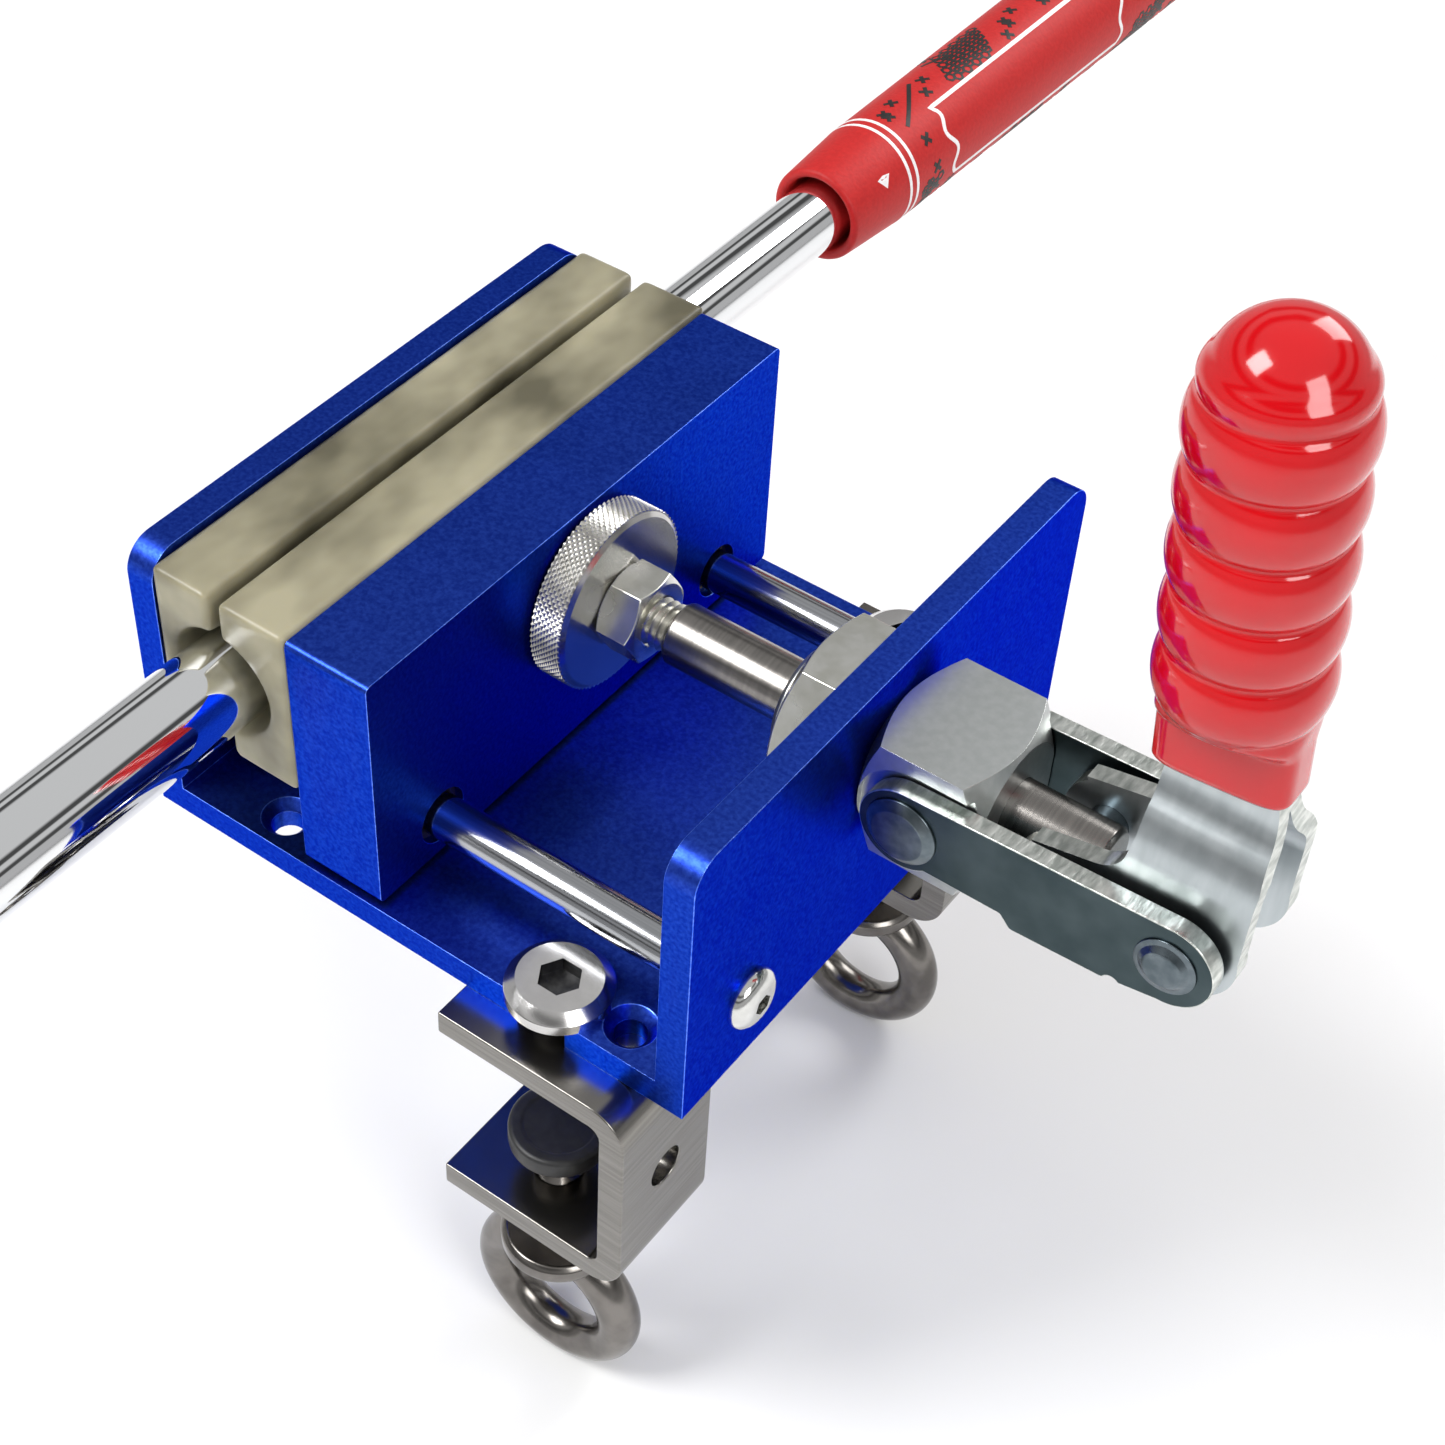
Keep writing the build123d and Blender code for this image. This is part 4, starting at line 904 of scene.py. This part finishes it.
def wrapped_marks(shell, name, material):
    """The marks bent round the grip, as one piece that rides on it."""
    bmesh.ops.recalc_face_normals(shell, faces=shell.faces)
    layout = bpy.data.meshes.new(name)
    shell.to_mesh(layout)
    shell.free()
    values = {"Skin": swell_r, "Taper": taper, "Tip taper": tip_taper, "Start": mouth_y + lip,
              "Axis": club_axis, "Arc radius": arc_r, "Finish": material}
    mesh = grown(name, grip_marks, values, layout)
    return shown(mesh, name, "grip", "grip_rubber", ["golf_grip"], material)


taper = (end_r - swell_r) / (tube_end - mouth_y - lip)
tip_taper = (swell_r - mouth_r) / lip
whole_turn = 2 * math.pi * arc_r
degree = math.radians(1) * arc_r


def wavy_plate(start, end, left, right):
    """Outline of the plain name plate: two straight sides and two wavy ends."""
    waves = 24
    near = []
    for step in range(waves + 1):
        share = step / waves
        swing = 0.9 * mm * math.sin(share * 4 * math.pi)
        near.append((left + (right - left) * share, start + 2.2 * mm * share + swing))
    far = [(spot, end + (start - along)) for spot, along in near]
    return near + far[::-1]


plate_left, plate_right = 24 * degree, 106 * degree
plate_start, plate_end = 133 * mm, 197 * mm
white_marks = bmesh.new()
for ring_y in (119.4 * mm, 121.6 * mm):
    stroke(white_marks, [(whole_turn * step / 48, ring_y) for step in range(49)], 0.75 * mm)
stroke(white_marks, wavy_plate(plate_start, plate_end, plate_left, plate_right), 0.85 * mm, closed=True)
for size in (0.35, 1.0):
    triangle = [(56 * degree + size * reach, 113 * mm + size * rise)
                for reach, rise in ((-0.9 * mm, -1.3 * mm), (1.1 * mm, 0), (-0.9 * mm, 1.3 * mm))]
    stroke(white_marks, triangle, 0.75 * mm, closed=True)
wrapped_marks(white_marks, "grip_marks_white", paint_white)


def clear_of_plate(angle, along):
    """Whether a mark at this angle and length is on the grip, and off the name plate."""
    beside = angle % 360 < 16 or angle % 360 > 116
    return 124 < along < 350 and (beside or not 131 < along < 201)


# One group of marks repeats along the grip, and again on its other sides.
cross_spots = ((3, 124.6), (-10, 129), (47, 127.4), (80, 128.2), (7, 136.2), (-9, 139.4), (13, 163.4),
               (-3, 166.8))
line_ends = (((25, 125.5), (-17, 137)), ((89, 125), (112, 130.3)))
repeat_y, cell = 42, 1.9
black_marks = bmesh.new()
for around_by in (0, 120, 240):
    for repeat in range(-1, 6):
        shift = repeat * repeat_y + around_by / 12
        for angle, along in cross_spots:
            if not clear_of_plate(angle + around_by, along + shift):
                continue
            across, run, arm = (angle + around_by) * degree, (along + shift) * mm, 1.0 * mm
            for lean_to in (-1, 1):
                ends = [(across + arm * end, run + arm * lean_to * end) for end in (-1, 1)]
                stroke(black_marks, ends, 0.8 * mm)
        for ends in line_ends:
            if all(clear_of_plate(angle + around_by, along + shift) for angle, along in ends):
                stroke(black_marks, [((angle + around_by) * degree, (along + shift) * mm)
                                     for angle, along in ends], 0.85 * mm)
        for row in range(9):
            for column in range(5):
                across = 11 - column * 9.2 + (row % 2) * 4.6
                along = 143.5 + row * cell * 0.84 + column * 1.3
                if not clear_of_plate(across + around_by, along + shift):
                    continue
                middle = ((across + around_by) * degree, (along + shift) * mm)
                corners = [(middle[0] + cell / 2 * mm * math.sin(math.radians(60 * turn)),
                            middle[1] + cell / 2 * mm * math.cos(math.radians(60 * turn)))
                           for turn in range(6)]
                stroke(black_marks, corners, 0.6 * mm, closed=True)
wrapped_marks(black_marks, "grip_marks_black", mark_black)

# ------------ floor, light and camera
# A plain pale floor under the lowest ring, a soft white studio, and the main viewpoint.
# Dark bands in the studio's light give the polished metal something to reflect.
floor_material = bpy.data.materials.new("pale floor")
floor_material.use_nodes = True
floor_shader = floor_material.node_tree.nodes["Principled BSDF"]
floor_shader.inputs["Base Color"].default_value = (0.86, 0.86, 0.86, 1)
floor_shader.inputs["Roughness"].default_value = 0.8
floor_mesh = bpy.data.meshes.new("floor")
reach = 40.0
floor_mesh.from_pydata([(-reach, -reach, 0), (reach, -reach, 0), (reach, reach, 0), (-reach, reach, 0)], [],
                       [(0, 1, 2, 3)])
floor_mesh.materials.append(floor_material)
floor = bpy.data.objects.new("floor", floor_mesh)
floor.location.z = cad_low.z
bpy.context.scene.collection.objects.link(floor)

world = bpy.data.worlds.new("studio")
world.use_nodes = True
bpy.context.scene.world = world
sky = world.node_tree
direction = add_node(sky, "ShaderNodeTexCoord").outputs["Generated"]
upness = add_node(sky, "ShaderNodeSeparateXYZ", Vector=direction)
ramp = add_node(sky, "ShaderNodeValToRGB")
sky.links.new(upness.outputs[2], ramp.inputs[0])
ramp.color_ramp.elements[0].color = (0.8, 0.8, 0.81, 1)
ramp.color_ramp.elements[1].color = (1, 1, 1, 1)
for height, shade in ((0.24, 0.8), (0.28, 0.12), (0.36, 0.12), (0.42, 1.0), (0.52, 1.0), (0.56, 0.12),
                      (0.64, 0.12), (0.70, 1.0)):
    ramp.color_ramp.elements.new(height).color = (shade, shade, shade, 1)
sky.links.new(ramp.outputs[0], sky.nodes["Background"].inputs[0])
sky.nodes["Background"].inputs[1].default_value = 0.62

middle = Vector((0.02, 0.0, 0.03))
for name, spot, size, energy in (("key", (-0.5, -0.55, 0.9), 0.5, 11), ("fill", (0.9, -0.35, 0.7), 0.5, 6),
                                 ("back", (0.2, 1.1, 0.8), 0.6, 7)):
    lamp = bpy.data.lights.new(name, "AREA")
    lamp.size = size
    lamp.energy = energy
    holder = bpy.data.objects.new(name, lamp)
    holder.location = spot
    holder.rotation_euler = (middle - Vector(spot)).to_track_quat("-Z", "Y").to_euler()
    bpy.context.scene.collection.objects.link(holder)

lens = bpy.data.cameras.new("camera")
lens.lens = 63.33
lens.shift_x, lens.shift_y = 0.0409, 0.0017
lens.clip_start = 0.01
camera = bpy.data.objects.new("camera", lens)
camera.location = (0.16819, -0.22743, 0.29312)
camera.rotation_euler = [math.radians(turn) for turn in (44.765, -1.702, 36.600)]
bpy.context.scene.collection.objects.link(camera)
bpy.context.scene.camera = camera
bpy.context.scene.view_settings.view_transform = "Standard"
